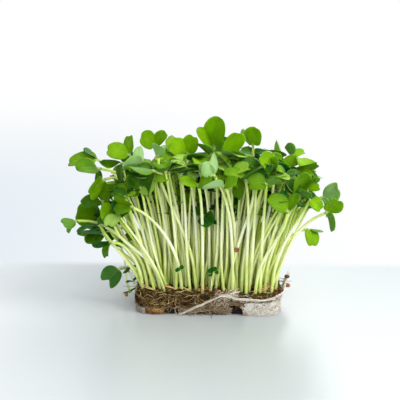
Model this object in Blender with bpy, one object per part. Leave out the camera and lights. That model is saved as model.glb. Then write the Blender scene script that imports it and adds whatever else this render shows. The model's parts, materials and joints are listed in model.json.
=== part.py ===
"""A block of radish microgreens, turned out of its punnet: Blender 4.5, metres, +Z up.

The fibre felt that the seed was sown on lies on the root mat, which kept the shape of the punnet's
ribbed floor as short feet.  A web of white roots wraps the felt's front and right side.  Each seedling
is one grown plant: a stem that forks into two petioles, each of which widens into a notched seed leaf.

X runs along the block, -Y is its front and the origin is on the surface that it stands on, in the
middle of the block.
"""

import math
import random
from collections import namedtuple

import bmesh
import bpy
from mathutils import Matrix, Vector
from mathutils.bvhtree import BVHTree

MM = 0.001

# Driving dimensions of the block.
BLOCK_LENGTH = 90 * MM
BLOCK_DEPTH = 56 * MM
CORNER_RADIUS = 11 * MM
GAP = 0.3 * MM  # between pieces that rest on each other
FOOT_HEIGHT = 3.6 * MM
ROOT_LAYER = 1.0 * MM
FELT_BOTTOM = FOOT_HEIGHT + ROOT_LAYER + GAP
FELT_TOP = 14.0 * MM

# The seedlings.
STEM_FOOT_RADIUS = 1.15 * MM
STEM_NECK_RADIUS = 0.85 * MM
LEAF_THICKNESS = 0.6 * MM
LEAF_LENGTH = 11.8 * MM  # of a seedling whose size is 1, from the fork to the tips of the lobes
SMALLER_LEAF = 0.86  # the second seed leaf's share of the first one's length
CANOPY_HEIGHT = 99 * MM
INNER_SEEDLINGS = 9
SEED_HUSK = Vector((1.75, 1.35, 1.15)) * MM  # half sizes

STEM_SIDES = 6
STEM_RINGS = 6
TRIES = 300  # how often a seedling is eased aside before the block counts as full

# Where a seed leaf's cross-sections lie from the fork (0) to the lobes (1), and half its width there.
LEAF_STATIONS = ((0.22, 0.07), (0.44, 0.30), (0.70, 0.47), (0.90, 0.42), (1.0, 0.24))
LOBE = 0.10  # how far the lobes reach past the notch, as a share of the leaf's length
CUPPING = 0.22  # how far the edges stand up, as a share of half the width

# Where a leaf points, seen from the front (way: 0 is right, 90 is up), how far it leans to the front
# from there, and how far its upper side turns away from the front (face: 90 shows its edge, 180 its
# lower side; None leaves it open to its partner).  All in degrees.
Leaf = namedtuple("Leaf", "way lean face")

# root: where the stem leaves the felt (x, y).  crown: where it forks into the leaves (x, y, z).
# Both in millimetres.  size: 1 for a seedling of middling leaves.
Seedling = namedtuple("Seedling", "root crown first second size")

# The seedlings that give the block its outline, from left to right.
OUTLINE = {
    "side_sprout": Seedling((-43, -5), (-56, -8, 24), Leaf(-135, 15, 10), Leaf(0, -40, 70), 1.20),
    "far_left_low": Seedling((-38, -20), (-81, -24, 59), Leaf(180, 40, 125), Leaf(-130, 15, 65), 0.80),
    "left_low_upright": Seedling((-38, 2), (-69, 8, 50), Leaf(150, 30, 45), Leaf(110, -30, 80), 1.60),
    "left_low_back": Seedling((-39, 10), (-69, 14, 43), Leaf(175, 15, 65), Leaf(-145, 45, 60), 1.35),
    "left_low_front": Seedling((-41, -22), (-59, -30, 47), Leaf(180, 15, 50), Leaf(-110, 40, 70), 0.90),
    "left_low_dark": Seedling((-35, 14), (-60, 22, 42), Leaf(-160, 30, 15), Leaf(-70, 30, 35), 0.95),
    "far_left_high": Seedling((-38, 4), (-71, 6, 92), Leaf(165, 10, 70), Leaf(135, -45, 75), 1.62),
    "far_left_mid": Seedling((-36, -8), (-67, -14, 90), Leaf(170, 35, 120), Leaf(-100, 15, 105), 1.25),
    "left_edge_broad": Seedling((-34, -13), (-65, -16, 83), Leaf(-150, 40, 45), Leaf(-100, 0, 50), 1.35),
    "left_shoulder": Seedling((-29, 10), (-52, 20, 92), Leaf(160, 15, 40), Leaf(95, -20, 45), 1.20),
    "left_shoulder_low": Seedling((-32, -11), (-54, -12, 93), Leaf(165, 25, 55), Leaf(-95, 15, 60), 1.05),
    "left_ribbed": Seedling((-30, -22), (-57, -30, 58), Leaf(115, 20, 60), Leaf(50, -10, 60), 1.20),
    "arching_left": Seedling((-16, -25), (-45, -36, 71), Leaf(140, 20, 50), Leaf(-165, 15, 60), 1.00),
    "left_inner_dark": Seedling((-27, -18), (-41, -24, 89), Leaf(-130, 20, 45), Leaf(165, 35, 70), 0.90),
    "pale_left": Seedling((-23, -12), (-40, -22, 95), Leaf(165, 30, 145), Leaf(95, -15, 120), 1.10),
    "left_flat": Seedling((-21, -19), (-32, -30, 92), Leaf(165, 30, 80), Leaf(-110, 15, 60), 1.40),
    "left_top": Seedling((-20, 14), (-36, 24, 98), Leaf(140, 35, 40), Leaf(50, 15, 40), 1.10),
    "curled_pale": Seedling((-7, -22), (-30, -26, 100), Leaf(90, 30, 145), Leaf(55, -25, 120), 0.75),
    "centre_left_pale": Seedling((-12, 16), (-18, 20, 94), Leaf(145, 40, 55), Leaf(125, -15, 115), 1.20),
    "centre_left_top": Seedling((-8, 2), (-13, 2, 96), Leaf(140, 35, 45), Leaf(75, 15, 25), 1.25),
    "front_centre_left": Seedling((-3, -25), (-5, -41, 86), Leaf(165, 20, 70), Leaf(25, 40, 55), 0.90),
    "top_centre": Seedling((3, 8), (3, 12, 98), Leaf(80, 15, 35), Leaf(125, 30, 70), 1.70),
    "top_centre_right": Seedling((4, -12), (10, -16, 99), Leaf(60, 20, 40), Leaf(15, 45, 120), 1.40),
    "pale_centre": Seedling((16, -25), (5, -42, 90), Leaf(110, 30, 135), Leaf(160, 15, 130), 1.20),
    "pale_centre_low": Seedling((18, -18), (10, -47, 87), Leaf(175, 15, 125), Leaf(25, 40, 60), 0.90),
    "front_centre_dark": Seedling((14, -22), (20, -33, 90), Leaf(-85, 10, 50), Leaf(-175, 20, 70), 1.00),
    "funnel_centre": Seedling((24, -25), (23, -38, 88), Leaf(45, 45, 110), Leaf(150, 20, 75), 1.30),
    "heart_right_top": Seedling((20, 8), (28, 10, 100), Leaf(85, 25, 30), Leaf(120, -15, 70), 1.15),
    "right_arched_dark": Seedling((20, 19), (29, 30, 91), Leaf(160, -20, 65), Leaf(20, -25, 60), 0.75),
    "folded_right": Seedling((31, -16), (40, -26, 90), Leaf(125, 15, 50), Leaf(75, 40, 70), 1.15),
    "butterfly_right": Seedling((33, -24), (35, -42, 87), Leaf(170, 20, 45), Leaf(10, 20, 125), 0.90),
    "right_pale_top": Seedling((30, 15), (48, 24, 90), Leaf(145, 35, 115), Leaf(110, -30, 75), 1.25),
    "right_shoulder_top": Seedling((33, 4), (47, 8, 88), Leaf(145, 25, 45), Leaf(25, 10, 45), 1.00),
    "right_front_low": Seedling((31, -24), (46, -44, 70), Leaf(120, 20, 40), Leaf(40, 10, 60), 1.15),
    "right_shoulder": Seedling((38, -12), (53, -14, 89), Leaf(20, 10, 55), Leaf(-10, 45, 75), 1.20),
    "right_back_top": Seedling((37, 18), (55, 32, 90), Leaf(125, -35, 135), Leaf(25, -5, 55), 0.75),
    "right_upright": Seedling((36, -20), (56, -24, 78), Leaf(95, 35, 40), Leaf(50, -15, 70), 1.20),
    "right_inner_low": Seedling((40, -22), (62, -30, 75), Leaf(140, 5, 130), Leaf(-40, 15, 30), 0.75),
    "far_right_low": Seedling((43, 2), (64, 6, 47), Leaf(-70, 45, 35), Leaf(-10, -20, 75), 0.95),
    "far_right_high": Seedling((42, 6), (72, 10, 67), Leaf(35, 25, 140), Leaf(-65, 15, 110), 1.15),
    "far_right": Seedling((43, -14), (73, -18, 64), Leaf(55, 20, 20), Leaf(-65, 20, 115), 1.00),
}

# Seed husks left on the felt, from left to right (x, y, turn in degrees, tilt in degrees).
HUSKS = (
    (-24.5, -23.5, 20, 12),
    (5.5, -25.0, 70, 8),
    (13.0, -22.5, 110, 25),
    (28.5, -17.0, 40, 15),
    (37.5, -14.5, 95, 35),
    (41.5, -8.0, 10, 30),
    (-38.5, -12.0, 60, 20),
)

MATERIALS = {
    "stem_and_leaf": ((0.16, 0.36, 0.03), 0.45),
    "fibre_felt": ((0.13, 0.085, 0.03), 0.95),
    "white_roots": ((0.55, 0.50, 0.42), 0.85),
    "seed_husk": ((0.30, 0.11, 0.035), 0.55),
}


def clear_scene():
    for thing in list(bpy.data.objects):
        bpy.data.objects.remove(thing, do_unlink=True)


def material(name):
    """The named finish, made the first time that it is asked for."""
    found = bpy.data.materials.get(name)
    if found:
        return found
    (red, green, blue), roughness = MATERIALS[name]
    made = bpy.data.materials.new(name)
    made.use_nodes = True
    shader = made.node_tree.nodes["Principled BSDF"]
    shader.inputs["Base Color"].default_value = (red, green, blue, 1)
    shader.inputs["Roughness"].default_value = roughness
    shader.inputs["Metallic"].default_value = 0
    return made


def add_object(name, points, faces, finish):
    """A named solid with its faces pointing out."""
    mesh = bpy.data.meshes.new(name)
    mesh.from_pydata(points, [], faces)
    tidy = bmesh.new()
    tidy.from_mesh(mesh)
    bmesh.ops.recalc_face_normals(tidy, faces=tidy.faces)
    tidy.to_mesh(mesh)
    tidy.free()
    mesh.shade_smooth()
    mesh.materials.append(material(finish))
    made = bpy.data.objects.new(name, mesh)
    bpy.context.scene.collection.objects.link(made)
    return made


# ---- the block: felt, root mat and root web ----


def outline_length(inset=0.0):
    """The way round a rounded rectangle that lies inset inside the block's outline."""
    radius = CORNER_RADIUS - inset
    straight = 2 * (BLOCK_LENGTH + BLOCK_DEPTH - 4 * CORNER_RADIUS)
    return straight + 2 * math.pi * radius


def outline_point(along, inset=0.0):
    """A point on that outline, and its outward normal.

    along starts at 0 in the middle of the front and runs to the right, so it is counter-clockwise
    seen from above.
    """
    half_x = BLOCK_LENGTH / 2 - CORNER_RADIUS
    half_y = BLOCK_DEPTH / 2 - CORNER_RADIUS
    radius = CORNER_RADIUS - inset
    corner = math.pi / 2 * radius
    legs = (
        (half_x, (0, -half_y), 0),
        (corner, (half_x, -half_y), None),
        (2 * half_y, (half_x, -half_y), 90),
        (corner, (half_x, half_y), None),
        (2 * half_x, (half_x, half_y), 180),
        (corner, (-half_x, half_y), None),
        (2 * half_y, (-half_x, half_y), 270),
        (corner, (-half_x, -half_y), None),
        (half_x, (-half_x, -half_y), 0),
    )
    along %= outline_length(inset)
    heading = 0
    for length, start, straight in legs:
        if along > length:
            along -= length
            if straight is None:
                heading += 90
            continue
        turn = math.radians(heading if straight is not None else heading + 90 * along / length)
        forward = Vector((math.cos(turn), math.sin(turn)))
        outward = Vector((forward.y, -forward.x))
        if straight is None:
            return Vector(start) + outward * radius, outward
        return Vector(start) + outward * radius + forward * along, outward
    return Vector((0, -half_y - radius)), Vector((0, -1))


def felt_top(x, y):
    """The height of the felt's upper face, which dried a little higher at the left and uneven."""
    slope = -1.6 * MM * x / (BLOCK_LENGTH / 2)
    waves = 0.5 * MM * math.sin(x / (11 * MM)) * math.cos(y / (13 * MM))
    return FELT_TOP + slope + waves


def fibre_felt():
    """The felt: nested rounded outlines over a flat bottom."""
    around = 40
    shares = (1.0, 0.82, 0.6, 0.35)
    edge = [outline_point(outline_length() * i / around)[0] for i in range(around)]
    points = [(p.x, p.y, FELT_BOTTOM) for p in edge]
    for share in shares:
        points += [(p.x * share, p.y * share, felt_top(p.x * share, p.y * share)) for p in edge]
    points.append((0, 0, felt_top(0, 0)))
    faces = [tuple(range(around))]
    for ring in range(len(shares)):
        for i in range(around):
            j = (i + 1) % around
            low, high = ring * around, (ring + 1) * around
            faces.append((low + i, low + j, high + j, high + i))
    last = len(shares) * around
    faces += [(last + i, last + (i + 1) % around, len(points) - 1) for i in range(around)]
    return add_object("fibre_felt", points, faces, "fibre_felt")


def foot_spots():
    """Centre and half size (x, y) in mm of each foot that the punnet's floor moulded, row on row."""
    columns = ((-32.5, 6.5), (-12, 7.5), (9.5, 6.5), (33, 10.2))
    rows = ((-18.5, 7.8, 0), (0, 5.5, -5), (18.5, 7.8, 0))
    return [((x + shift, y), (a, b)) for x, a in columns for y, b, shift in rows]


def frustum(centre, half, low, high, draft):
    """The points and faces of a straight-sided foot with cut corners, drawn in by draft at its bottom.

    centre, half and draft are in millimetres.
    """
    points = []
    for z, shrink in ((low, draft), (high, 0.0)):
        a, b = half[0] - shrink, half[1] - shrink
        cut = 0.5 * min(a, b)
        corners = ((a, b - cut), (a - cut, b), (cut - a, b), (-a, b - cut))
        around = list(corners) + [(-x, -y) for x, y in corners]
        points += [((centre[0] + x) * MM, (centre[1] + y) * MM, z) for x, y in around]
    sides = [(i, (i + 1) % 8, 8 + (i + 1) % 8, 8 + i) for i in range(8)]
    return points, [tuple(range(8)), tuple(range(8, 16))] + sides


def root_mat():
    """The thin layer of roots under the felt, with the feet joined to it by a Boolean."""
    around, inset = 40, 0.6 * MM
    edge = [outline_point(outline_length(inset) * i / around, inset)[0] for i in range(around)]
    low, high = FOOT_HEIGHT, FOOT_HEIGHT + ROOT_LAYER
    points = [(p.x, p.y, z) for z in (low, high) for p in edge]
    faces = [tuple(range(around)), tuple(range(around, 2 * around))]
    for i in range(around):
        j = (i + 1) % around
        faces.append((i, j, around + j, around + i))
    layer = add_object("root_mat", points, faces, "white_roots")
    points, faces = [], []
    for centre, half in foot_spots():
        own, sides = frustum(centre, half, 0.0, FOOT_HEIGHT + ROOT_LAYER / 2, 0.8)
        faces += [tuple(len(points) + i for i in face) for face in sides]
        points += own
    feet = add_object("feet_to_join", points, faces, "white_roots")
    feet.hide_render = True
    feet.display_type = "WIRE"
    join = layer.modifiers.new("join feet", "BOOLEAN")
    join.operation = "UNION"
    join.object = feet
    return layer


def between(stops, at):
    """The value at a place between (place, value) stops, eased from stop to stop."""
    for (a, low), (b, high) in zip(stops, stops[1:]):
        if at <= b:
            share = max(0.0, (at - a) / (b - a))
            return low + (high - low) * share * share * (3 - 2 * share)
    return stops[-1][1]


def root_web():
    """The web of roots that grew up the punnet's wall: a thin curtain round the front right corner.

    Its upper edge starts low on the front, rises, dips over the right foot and flares out past the
    right side.
    """
    start, stop, steps = -19 * MM, 74 * MM, 30
    top = ((-19, 2.0), (-4, 8.0), (12, 14.2), (22, 13.4), (36, 11.4), (48, 12.0), (60, 14.0), (74, 15.0))
    bottom = ((-19, 0.4), (-8, 2.2), (0, 4.6), (20, 4.8), (24, 0.4), (74, 0.4))
    flare = ((-19, 0.0), (44, 0.0), (60, 2.4), (74, 4.6))
    thickness = 0.8 * MM
    points, faces = [], []
    for step in range(steps + 1):
        along = start + (stop - start) * step / steps
        low = between(bottom, along / MM) * MM
        high = between(top, along / MM) * MM
        lean = between(flare, along / MM) * MM
        for share, outside in ((0, 0), (0.55, 0), (1, 0), (1, 1), (0.55, 1), (0, 1)):
            clear = 0.5 * MM + outside * thickness + lean * share * share
            p, outward = outline_point(along)
            place = p + outward * clear
            points.append((place.x, place.y, low + (high - low) * share))
        if step:
            a, b = 6 * (step - 1), 6 * step
            faces += [(a + i, a + (i + 1) % 6, b + (i + 1) % 6, b + i) for i in range(6)]
    faces += [tuple(range(6)), tuple(range(6 * steps, 6 * steps + 6))]
    return add_object("root_web", points, faces, "white_roots")


# ---- the seedlings ----


def bezier(controls, share):
    """The point and the direction at a share of the way along a Bezier curve."""
    layers = [list(controls)]
    while len(layers[-1]) > 1:
        last = layers[-1]
        layers.append([a.lerp(b, share) for a, b in zip(last, last[1:])])
    ends = layers[-2]
    return layers[-1][0], (ends[1] - ends[0]).normalized()


def pointing(leaf):
    way, lean = math.radians(leaf.way), math.radians(leaf.lean)
    return Vector((math.cos(lean) * math.cos(way), -math.sin(lean), math.cos(lean) * math.sin(way)))


def head_frame(plant, foot, crown):
    """The head's axis, the two leaves' directions and the width direction that they share."""
    first, second = pointing(plant.first), pointing(plant.second)
    axis = (first + second + (crown - foot).normalized() * 0.8).normalized()
    width = second.cross(first)
    width = (width - axis * width.dot(axis)).normalized()
    return axis, (first, second), width


def upper_side(leaf, out, natural):
    """Where the leaf's upper side looks: open to its partner, unless it turned on its petiole."""
    front = Vector((0, -1, 0)) - out * -out.y
    if leaf.face is None or front.length < 0.3:
        return natural
    front.normalize()
    sideways = out.cross(front)
    face = math.radians(leaf.face)
    choices = [front * math.cos(face) + sideways * math.sin(face) * sign for sign in (1, -1)]
    best = max(choices, key=natural.dot)
    return best if best.dot(natural) > -0.3 else -best


def stem_rings(foot, crown, axis, width, extra):
    """The rings of points round the stem, from the felt to the fork.

    The first point of the last ring lies on the leaves' width direction, so that the fork splits
    the ring between the leaves.  extra thickens the stem, to test for room round it.
    """
    reach = (crown - foot).length
    controls = (foot, foot + Vector((0, 0, 0.42 * reach)), crown - axis * 0.26 * reach, crown)
    spots = [bezier(controls, i / (STEM_RINGS - 1)) for i in range(STEM_RINGS)]
    rings = []
    above = spots[-1][1]
    for back, (centre, forward) in enumerate(reversed(spots)):
        width = above.rotation_difference(forward) @ width
        above = forward
        across = forward.cross(width).normalized()
        width = across.cross(forward)
        share = 1 - back / (STEM_RINGS - 1)
        radius = extra + STEM_FOOT_RADIUS + (STEM_NECK_RADIUS - STEM_FOOT_RADIUS) * share
        ring = []
        for k in range(STEM_SIDES):
            turn = 2 * math.pi * k / STEM_SIDES
            ring.append(centre + (width * math.cos(turn) - across * math.sin(turn)) * radius)
        rings.append(ring)
    return rings[::-1]


def leaf_rings(crown, axis, out, width, upper, length, extra):
    """The five-point sections of one seed leaf: edge, two below, edge, one above."""
    bend = (crown, crown + (axis + out * 0.4) * length * 0.22, crown + out * length)
    turned = upper.cross(out)
    rings = []
    for place, half in LEAF_STATIONS:
        centre, forward = bezier(bend, place)
        across = turned if place > 0.3 else (turned + width).normalized()
        above = forward.cross(across).normalized()
        half_width = half * length + extra
        thick = LEAF_THICKNESS / 2 + extra
        rim = above * (CUPPING * half_width)
        lobe = forward * (LOBE * length if place > 0.85 else 0)
        rings.append(
            [
                centre + across * half_width + rim + lobe,
                centre + across * half_width * 0.5 - above * thick + lobe * 0.5,
                centre - across * half_width * 0.5 - above * thick + lobe * 0.5,
                centre - across * half_width + rim + lobe,
                centre + above * thick,
            ]
        )
    return rings


def seedling_shape(plant, extra=0.0):
    """Points and faces of one plant: the stem, the fork and the two seed leaves, as one closed skin."""
    x, y = (v * MM for v in plant.root)
    foot = Vector((x, y, felt_top(x, y) + GAP + STEM_FOOT_RADIUS * 0.2 - extra))
    crown = Vector(plant.crown) * MM
    axis, outs, width = head_frame(plant, foot, crown)
    rings = stem_rings(foot, crown, axis, width, extra)
    points = [p for ring in rings for p in ring]
    faces = [tuple(range(STEM_SIDES))]
    for low in range(0, STEM_SIDES * (STEM_RINGS - 1), STEM_SIDES):
        for i in range(STEM_SIDES):
            j = (i + 1) % STEM_SIDES
            faces.append((low + i, low + j, low + STEM_SIDES + j, low + STEM_SIDES + i))
    last = STEM_SIDES * (STEM_RINGS - 1)
    saddle = len(points)
    points.append(crown + axis * STEM_NECK_RADIUS * 0.7)
    for number, (leaf, out) in enumerate(zip((plant.first, plant.second), outs)):
        natural_width = width * (1 - 2 * number)
        upper = upper_side(leaf, out, out.cross(natural_width).normalized())
        length = LEAF_LENGTH * plant.size * (SMALLER_LEAF if number else 1.0)
        loop = [last + (3 * number + i) % STEM_SIDES for i in range(4)] + [saddle]
        for ring in leaf_rings(crown, axis, out, natural_width, upper, length, extra):
            new = list(range(len(points), len(points) + 5))
            points += ring
            faces += [(loop[i], loop[(i + 1) % 5], new[(i + 1) % 5], new[i]) for i in range(5)]
            loop = new
        faces.append(tuple(loop))
    return points, faces


def room_for(shape, taken):
    tree = BVHTree.FromPolygons(*shape)
    return not any(tree.overlap(other) for other in taken)


def eased(plant, amount, chance):
    """The same plant with its root, crown and leaves moved a little, by more as amount nears 1."""

    def shift(most):
        return chance.uniform(-most, most) * amount

    swing, tip = shift(50), shift(40)
    return plant._replace(
        root=(plant.root[0] + shift(2), plant.root[1] + shift(2)),
        crown=tuple(place + shift(5) for place in plant.crown),
        first=plant.first._replace(way=plant.first.way + swing, lean=plant.first.lean + tip),
        second=plant.second._replace(way=plant.second.way + swing, lean=plant.second.lean + tip),
        size=plant.size * (1 - 0.2 * abs(shift(1))),
    )


def seedling(name, plant, taken, chance):
    """Adds the plant, eased aside until it is free of its neighbours, or gives None if it never is."""
    for attempt in range(TRIES):
        tried = eased(plant, attempt / TRIES, chance)
        if room_for(seedling_shape(tried, GAP), taken):
            points, faces = seedling_shape(tried)
            taken.append(BVHTree.FromPolygons(points, faces))
            return add_object(name, points, faces, "stem_and_leaf")
    return None


def as_leaf(direction):
    """The leaf that points in this direction and is open to its partner."""
    way = math.degrees(math.atan2(direction.z, direction.x))
    return Leaf(way, math.degrees(-math.asin(direction.y)), None)


def inner_seedling(number, chance):
    """A seedling of the block's back: its stem fans out from the block's centre."""
    x = 37 * ((0.755 * (number + 1)) % 1 * 2 - 1)
    y = 4 + 19 * ((0.570 * (number + 1)) % 1)
    fan_x, fan_y = 1.5 * x, 1.95 * y
    fall = (fan_x / 95) ** 2 + (fan_y / 75) ** 2
    height = CANOPY_HEIGHT / MM * (1 - 0.34 * fall) * chance.uniform(0.9, 1.0)
    nod = math.radians(0.7 * math.hypot(fan_x, fan_y) + chance.uniform(5, 20))
    to = math.atan2(fan_y, fan_x)
    axis = Vector((math.sin(nod) * math.cos(to), math.sin(nod) * math.sin(to), math.cos(nod)))
    side = Matrix.Rotation(math.pi * chance.random(), 3, axis) @ Vector((-math.sin(to), math.cos(to), 0))
    leaves = []
    for way in (1, -1):
        spread = math.radians(chance.uniform(45, 75))
        leaves.append(as_leaf(axis * math.cos(spread) + side * way * math.sin(spread)))
    return Seedling((x, y), (fan_x, fan_y, height), *leaves, chance.uniform(0.95, 1.25))


def seed_husk(number, spot, taken):
    """An emptied seed coat that lies on the felt: a small closed ellipsoid."""
    x, y, turn, tilt = spot
    husk = bmesh.new()
    bmesh.ops.create_icosphere(husk, subdivisions=2, radius=1.0)
    bmesh.ops.scale(husk, vec=SEED_HUSK, verts=husk.verts)
    tip = Matrix.Rotation(math.radians(tilt), 3, "Y")
    bmesh.ops.rotate(husk, matrix=Matrix.Rotation(math.radians(turn), 3, "Z") @ tip, verts=husk.verts)
    lowest = min(v.co.z for v in husk.verts)
    for sideways in range(24):
        around = math.radians(137.5 * sideways)
        step = 0.9 * math.sqrt(sideways)
        px = (x + step * math.cos(around)) * MM
        py = (y + step * math.sin(around)) * MM
        lift = felt_top(px, py) + 2 * GAP - lowest
        points = [v.co + Vector((px, py, lift)) for v in husk.verts]
        faces = [tuple(v.index for v in face.verts) for face in husk.faces]
        if room_for((points, faces), taken):
            break
    husk.free()
    taken.append(BVHTree.FromPolygons(points, faces))
    return add_object(f"seed_husk_{number:02d}", points, faces, "seed_husk")


def main():
    clear_scene()
    felt = fibre_felt()
    web = root_web()
    root_mat()
    taken = []
    for solid in (felt, web):
        corners = [v.co for v in solid.data.vertices]
        taken.append(BVHTree.FromPolygons(corners, [tuple(p.vertices) for p in solid.data.polygons]))
    chance = random.Random(7)
    for name, plant in OUTLINE.items():
        if not seedling(f"seedling_{name}", plant, taken, chance):
            raise ValueError(f"{name} finds no room")
    number, placed = 0, 0
    while placed < INNER_SEEDLINGS:
        name = f"seedling_inner_{placed + 1:02d}"
        placed += seedling(name, inner_seedling(number, chance), taken, chance) is not None
        number += 1
    for number, spot in enumerate(HUSKS, start=1):
        seed_husk(number, spot, taken)


main()
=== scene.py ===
# %% [markdown]
# A block of radish microgreens, turned out of its punnet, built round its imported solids.
# The solids hold the block's real sizes: a fibre felt, the root mat that kept the shape of the punnet's
# floor, a web of roots over the front right corner, seed husks and fifty seedlings.  A render needs
# more than that: leaves with a notch, a fold and a thin edge, some three hundred more seedlings in
# between, loose fibres and roots.  So each cell below either reads a size from the solids or grows a finer
# piece in the place of one of them.

import json
import math
import random
from collections import namedtuple

import bmesh
import bpy
import numpy as np
from mathutils import Matrix, Vector, noise
from mathutils.bvhtree import BVHTree

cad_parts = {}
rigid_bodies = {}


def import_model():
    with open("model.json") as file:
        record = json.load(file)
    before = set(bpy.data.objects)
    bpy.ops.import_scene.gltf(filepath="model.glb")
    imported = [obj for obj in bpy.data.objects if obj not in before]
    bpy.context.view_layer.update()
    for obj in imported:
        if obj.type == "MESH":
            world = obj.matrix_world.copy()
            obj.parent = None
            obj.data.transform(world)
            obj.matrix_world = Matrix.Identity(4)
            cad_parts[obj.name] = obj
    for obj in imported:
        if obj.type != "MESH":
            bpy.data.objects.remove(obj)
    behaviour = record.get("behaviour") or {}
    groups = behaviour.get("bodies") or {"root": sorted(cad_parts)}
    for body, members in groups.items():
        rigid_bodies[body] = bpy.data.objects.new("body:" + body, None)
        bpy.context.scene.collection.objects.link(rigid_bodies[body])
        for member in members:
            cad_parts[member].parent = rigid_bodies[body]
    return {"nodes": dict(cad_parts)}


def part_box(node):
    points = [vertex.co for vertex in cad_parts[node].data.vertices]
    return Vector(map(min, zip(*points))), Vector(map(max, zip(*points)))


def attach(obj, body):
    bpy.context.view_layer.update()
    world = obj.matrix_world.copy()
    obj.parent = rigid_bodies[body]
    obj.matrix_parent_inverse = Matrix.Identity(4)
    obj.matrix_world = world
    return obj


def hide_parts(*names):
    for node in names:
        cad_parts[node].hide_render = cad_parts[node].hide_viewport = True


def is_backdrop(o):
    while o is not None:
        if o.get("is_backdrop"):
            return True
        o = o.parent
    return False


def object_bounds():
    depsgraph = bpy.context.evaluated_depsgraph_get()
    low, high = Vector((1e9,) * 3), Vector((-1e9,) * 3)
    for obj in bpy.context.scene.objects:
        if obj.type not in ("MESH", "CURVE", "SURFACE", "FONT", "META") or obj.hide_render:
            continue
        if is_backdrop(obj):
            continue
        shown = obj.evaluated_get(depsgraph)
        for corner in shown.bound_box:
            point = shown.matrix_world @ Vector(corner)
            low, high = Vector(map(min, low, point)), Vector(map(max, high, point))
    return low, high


MM = 0.001

for thing in list(bpy.data.objects):
    bpy.data.objects.remove(thing, do_unlink=True)
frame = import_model()
cad_low, cad_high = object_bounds()
chance = random.Random(11)
print("the block measures", [round(1000 * size) for size in cad_high - cad_low], "mm")

# %% [markdown]
# The camera comes first, because everything else is judged through it.  It looks at the block's front
# from a little above, as someone would who bends down to it, with a long lens about 0.6 m away.  A
# long lens keeps the stems parallel; a short one would splay them.

# %% Camera
AZIMUTH, ELEVATION = math.radians(2), math.radians(13)
DISTANCE = 620 * MM
AIM = Vector((-5.5, 0, 67.3)) * MM
FOCAL_LENGTH = 87.5  # of the lens, in mm

eye = bpy.data.cameras.new("camera")
eye.lens = FOCAL_LENGTH
camera = bpy.data.objects.new("camera", eye)
bpy.context.scene.collection.objects.link(camera)
back = Vector((
    math.sin(AZIMUTH) * math.cos(ELEVATION),
    -math.cos(AZIMUTH) * math.cos(ELEVATION),
    math.sin(ELEVATION),
))
camera.location = AIM + back * DISTANCE
camera.rotation_euler = back.to_track_quat("Z", "Y").to_euler()
bpy.context.scene.camera = camera
print("the camera stands", round(camera.location.z * 1000), "mm above the table")

# %% [markdown]
# Every finish is a node material.  A handful of helpers keeps each one readable: they add a node, set
# its values, and hand back the socket that carries its result.  Values that are the same all over a
# surface go straight onto the shader's own sockets.


# %% Helpers for materials
def finish(name, **sockets):
    """A material with one Principled shader, and the values of its sockets by name."""
    material = bpy.data.materials.new(name)
    material.use_nodes = True
    shader = material.node_tree.nodes["Principled BSDF"]
    for socket, value in sockets.items():
        shader.inputs[socket.replace("_", " ")].default_value = value
    return material, material.node_tree, shader


def add(tree, kind, **settings):
    made = tree.nodes.new("ShaderNode" + kind)
    for setting, value in settings.items():
        setattr(made, setting, value)
    return made


def feed(tree, socket, value):
    """Puts a value or another node's result into a socket."""
    if isinstance(value, bpy.types.NodeSocket):
        tree.links.new(value, socket)
    else:
        socket.default_value = value


def place(tree):
    return add(tree, "TexCoord").outputs["Object"]


def split(tree, value):
    """The three numbers of a place, or of anything else that is written as three."""
    made = add(tree, "SeparateXYZ")
    feed(tree, made.inputs[0], value)
    return made.outputs


def ease(tree, value, start, end):
    """Rises smoothly from 0 where value is start to 1 where it is end."""
    made = add(tree, "MapRange", interpolation_type="SMOOTHSTEP")
    made.inputs["From Min"].default_value = start
    made.inputs["From Max"].default_value = end
    feed(tree, made.inputs["Value"], value)
    return made.outputs[0]


def grown(tree, name):
    """What the mesh code wrote at each point under this name."""
    return add(tree, "Attribute", attribute_name=name)


def grain(tree, size, detail=4.0, where=None, roughness=0.55):
    """Noise whose lumps are about size wide, in metres."""
    made = add(tree, "TexNoise")
    feed(tree, made.inputs["Vector"], where or place(tree))
    made.inputs["Scale"].default_value = 1 / size
    made.inputs["Detail"].default_value = detail
    made.inputs["Roughness"].default_value = roughness
    return made.outputs["Fac"]


def maths(tree, operation, first, second=0.0, clamp=False):
    made = add(tree, "Math", operation=operation, use_clamp=clamp)
    feed(tree, made.inputs[0], first)
    feed(tree, made.inputs[1], second)
    return made.outputs[0]


def steps(tree, factor, *stops):
    """A colour ramp: (place, colour) stops."""
    made = add(tree, "ValToRGB")
    elements = made.color_ramp.elements
    elements[0].position, elements[0].color = stops[0][0], (*stops[0][1], 1)
    elements[1].position, elements[1].color = stops[-1][0], (*stops[-1][1], 1)
    for position, colour in stops[1:-1]:
        elements.new(position).color = (*colour, 1)
    feed(tree, made.inputs[0], factor)
    return made.outputs["Color"]


def blend(tree, factor, first, second, how="MIX"):
    made = add(tree, "Mix", data_type="RGBA", blend_type=how)
    feed(tree, made.inputs[0], factor)
    for socket, value in ((made.inputs[6], first), (made.inputs[7], second)):
        feed(tree, socket, value if isinstance(value, bpy.types.NodeSocket) else (*value, 1))
    return made.outputs[2]


def relief(tree, shader, height, distance):
    """Bumps of about this height, in metres."""
    made = add(tree, "Bump")
    made.inputs["Distance"].default_value = distance
    made.inputs["Strength"].default_value = 1.0
    feed(tree, made.inputs["Height"], height)
    feed(tree, shader.inputs["Normal"], made.outputs[0])


print("the helpers for materials are ready")
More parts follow.
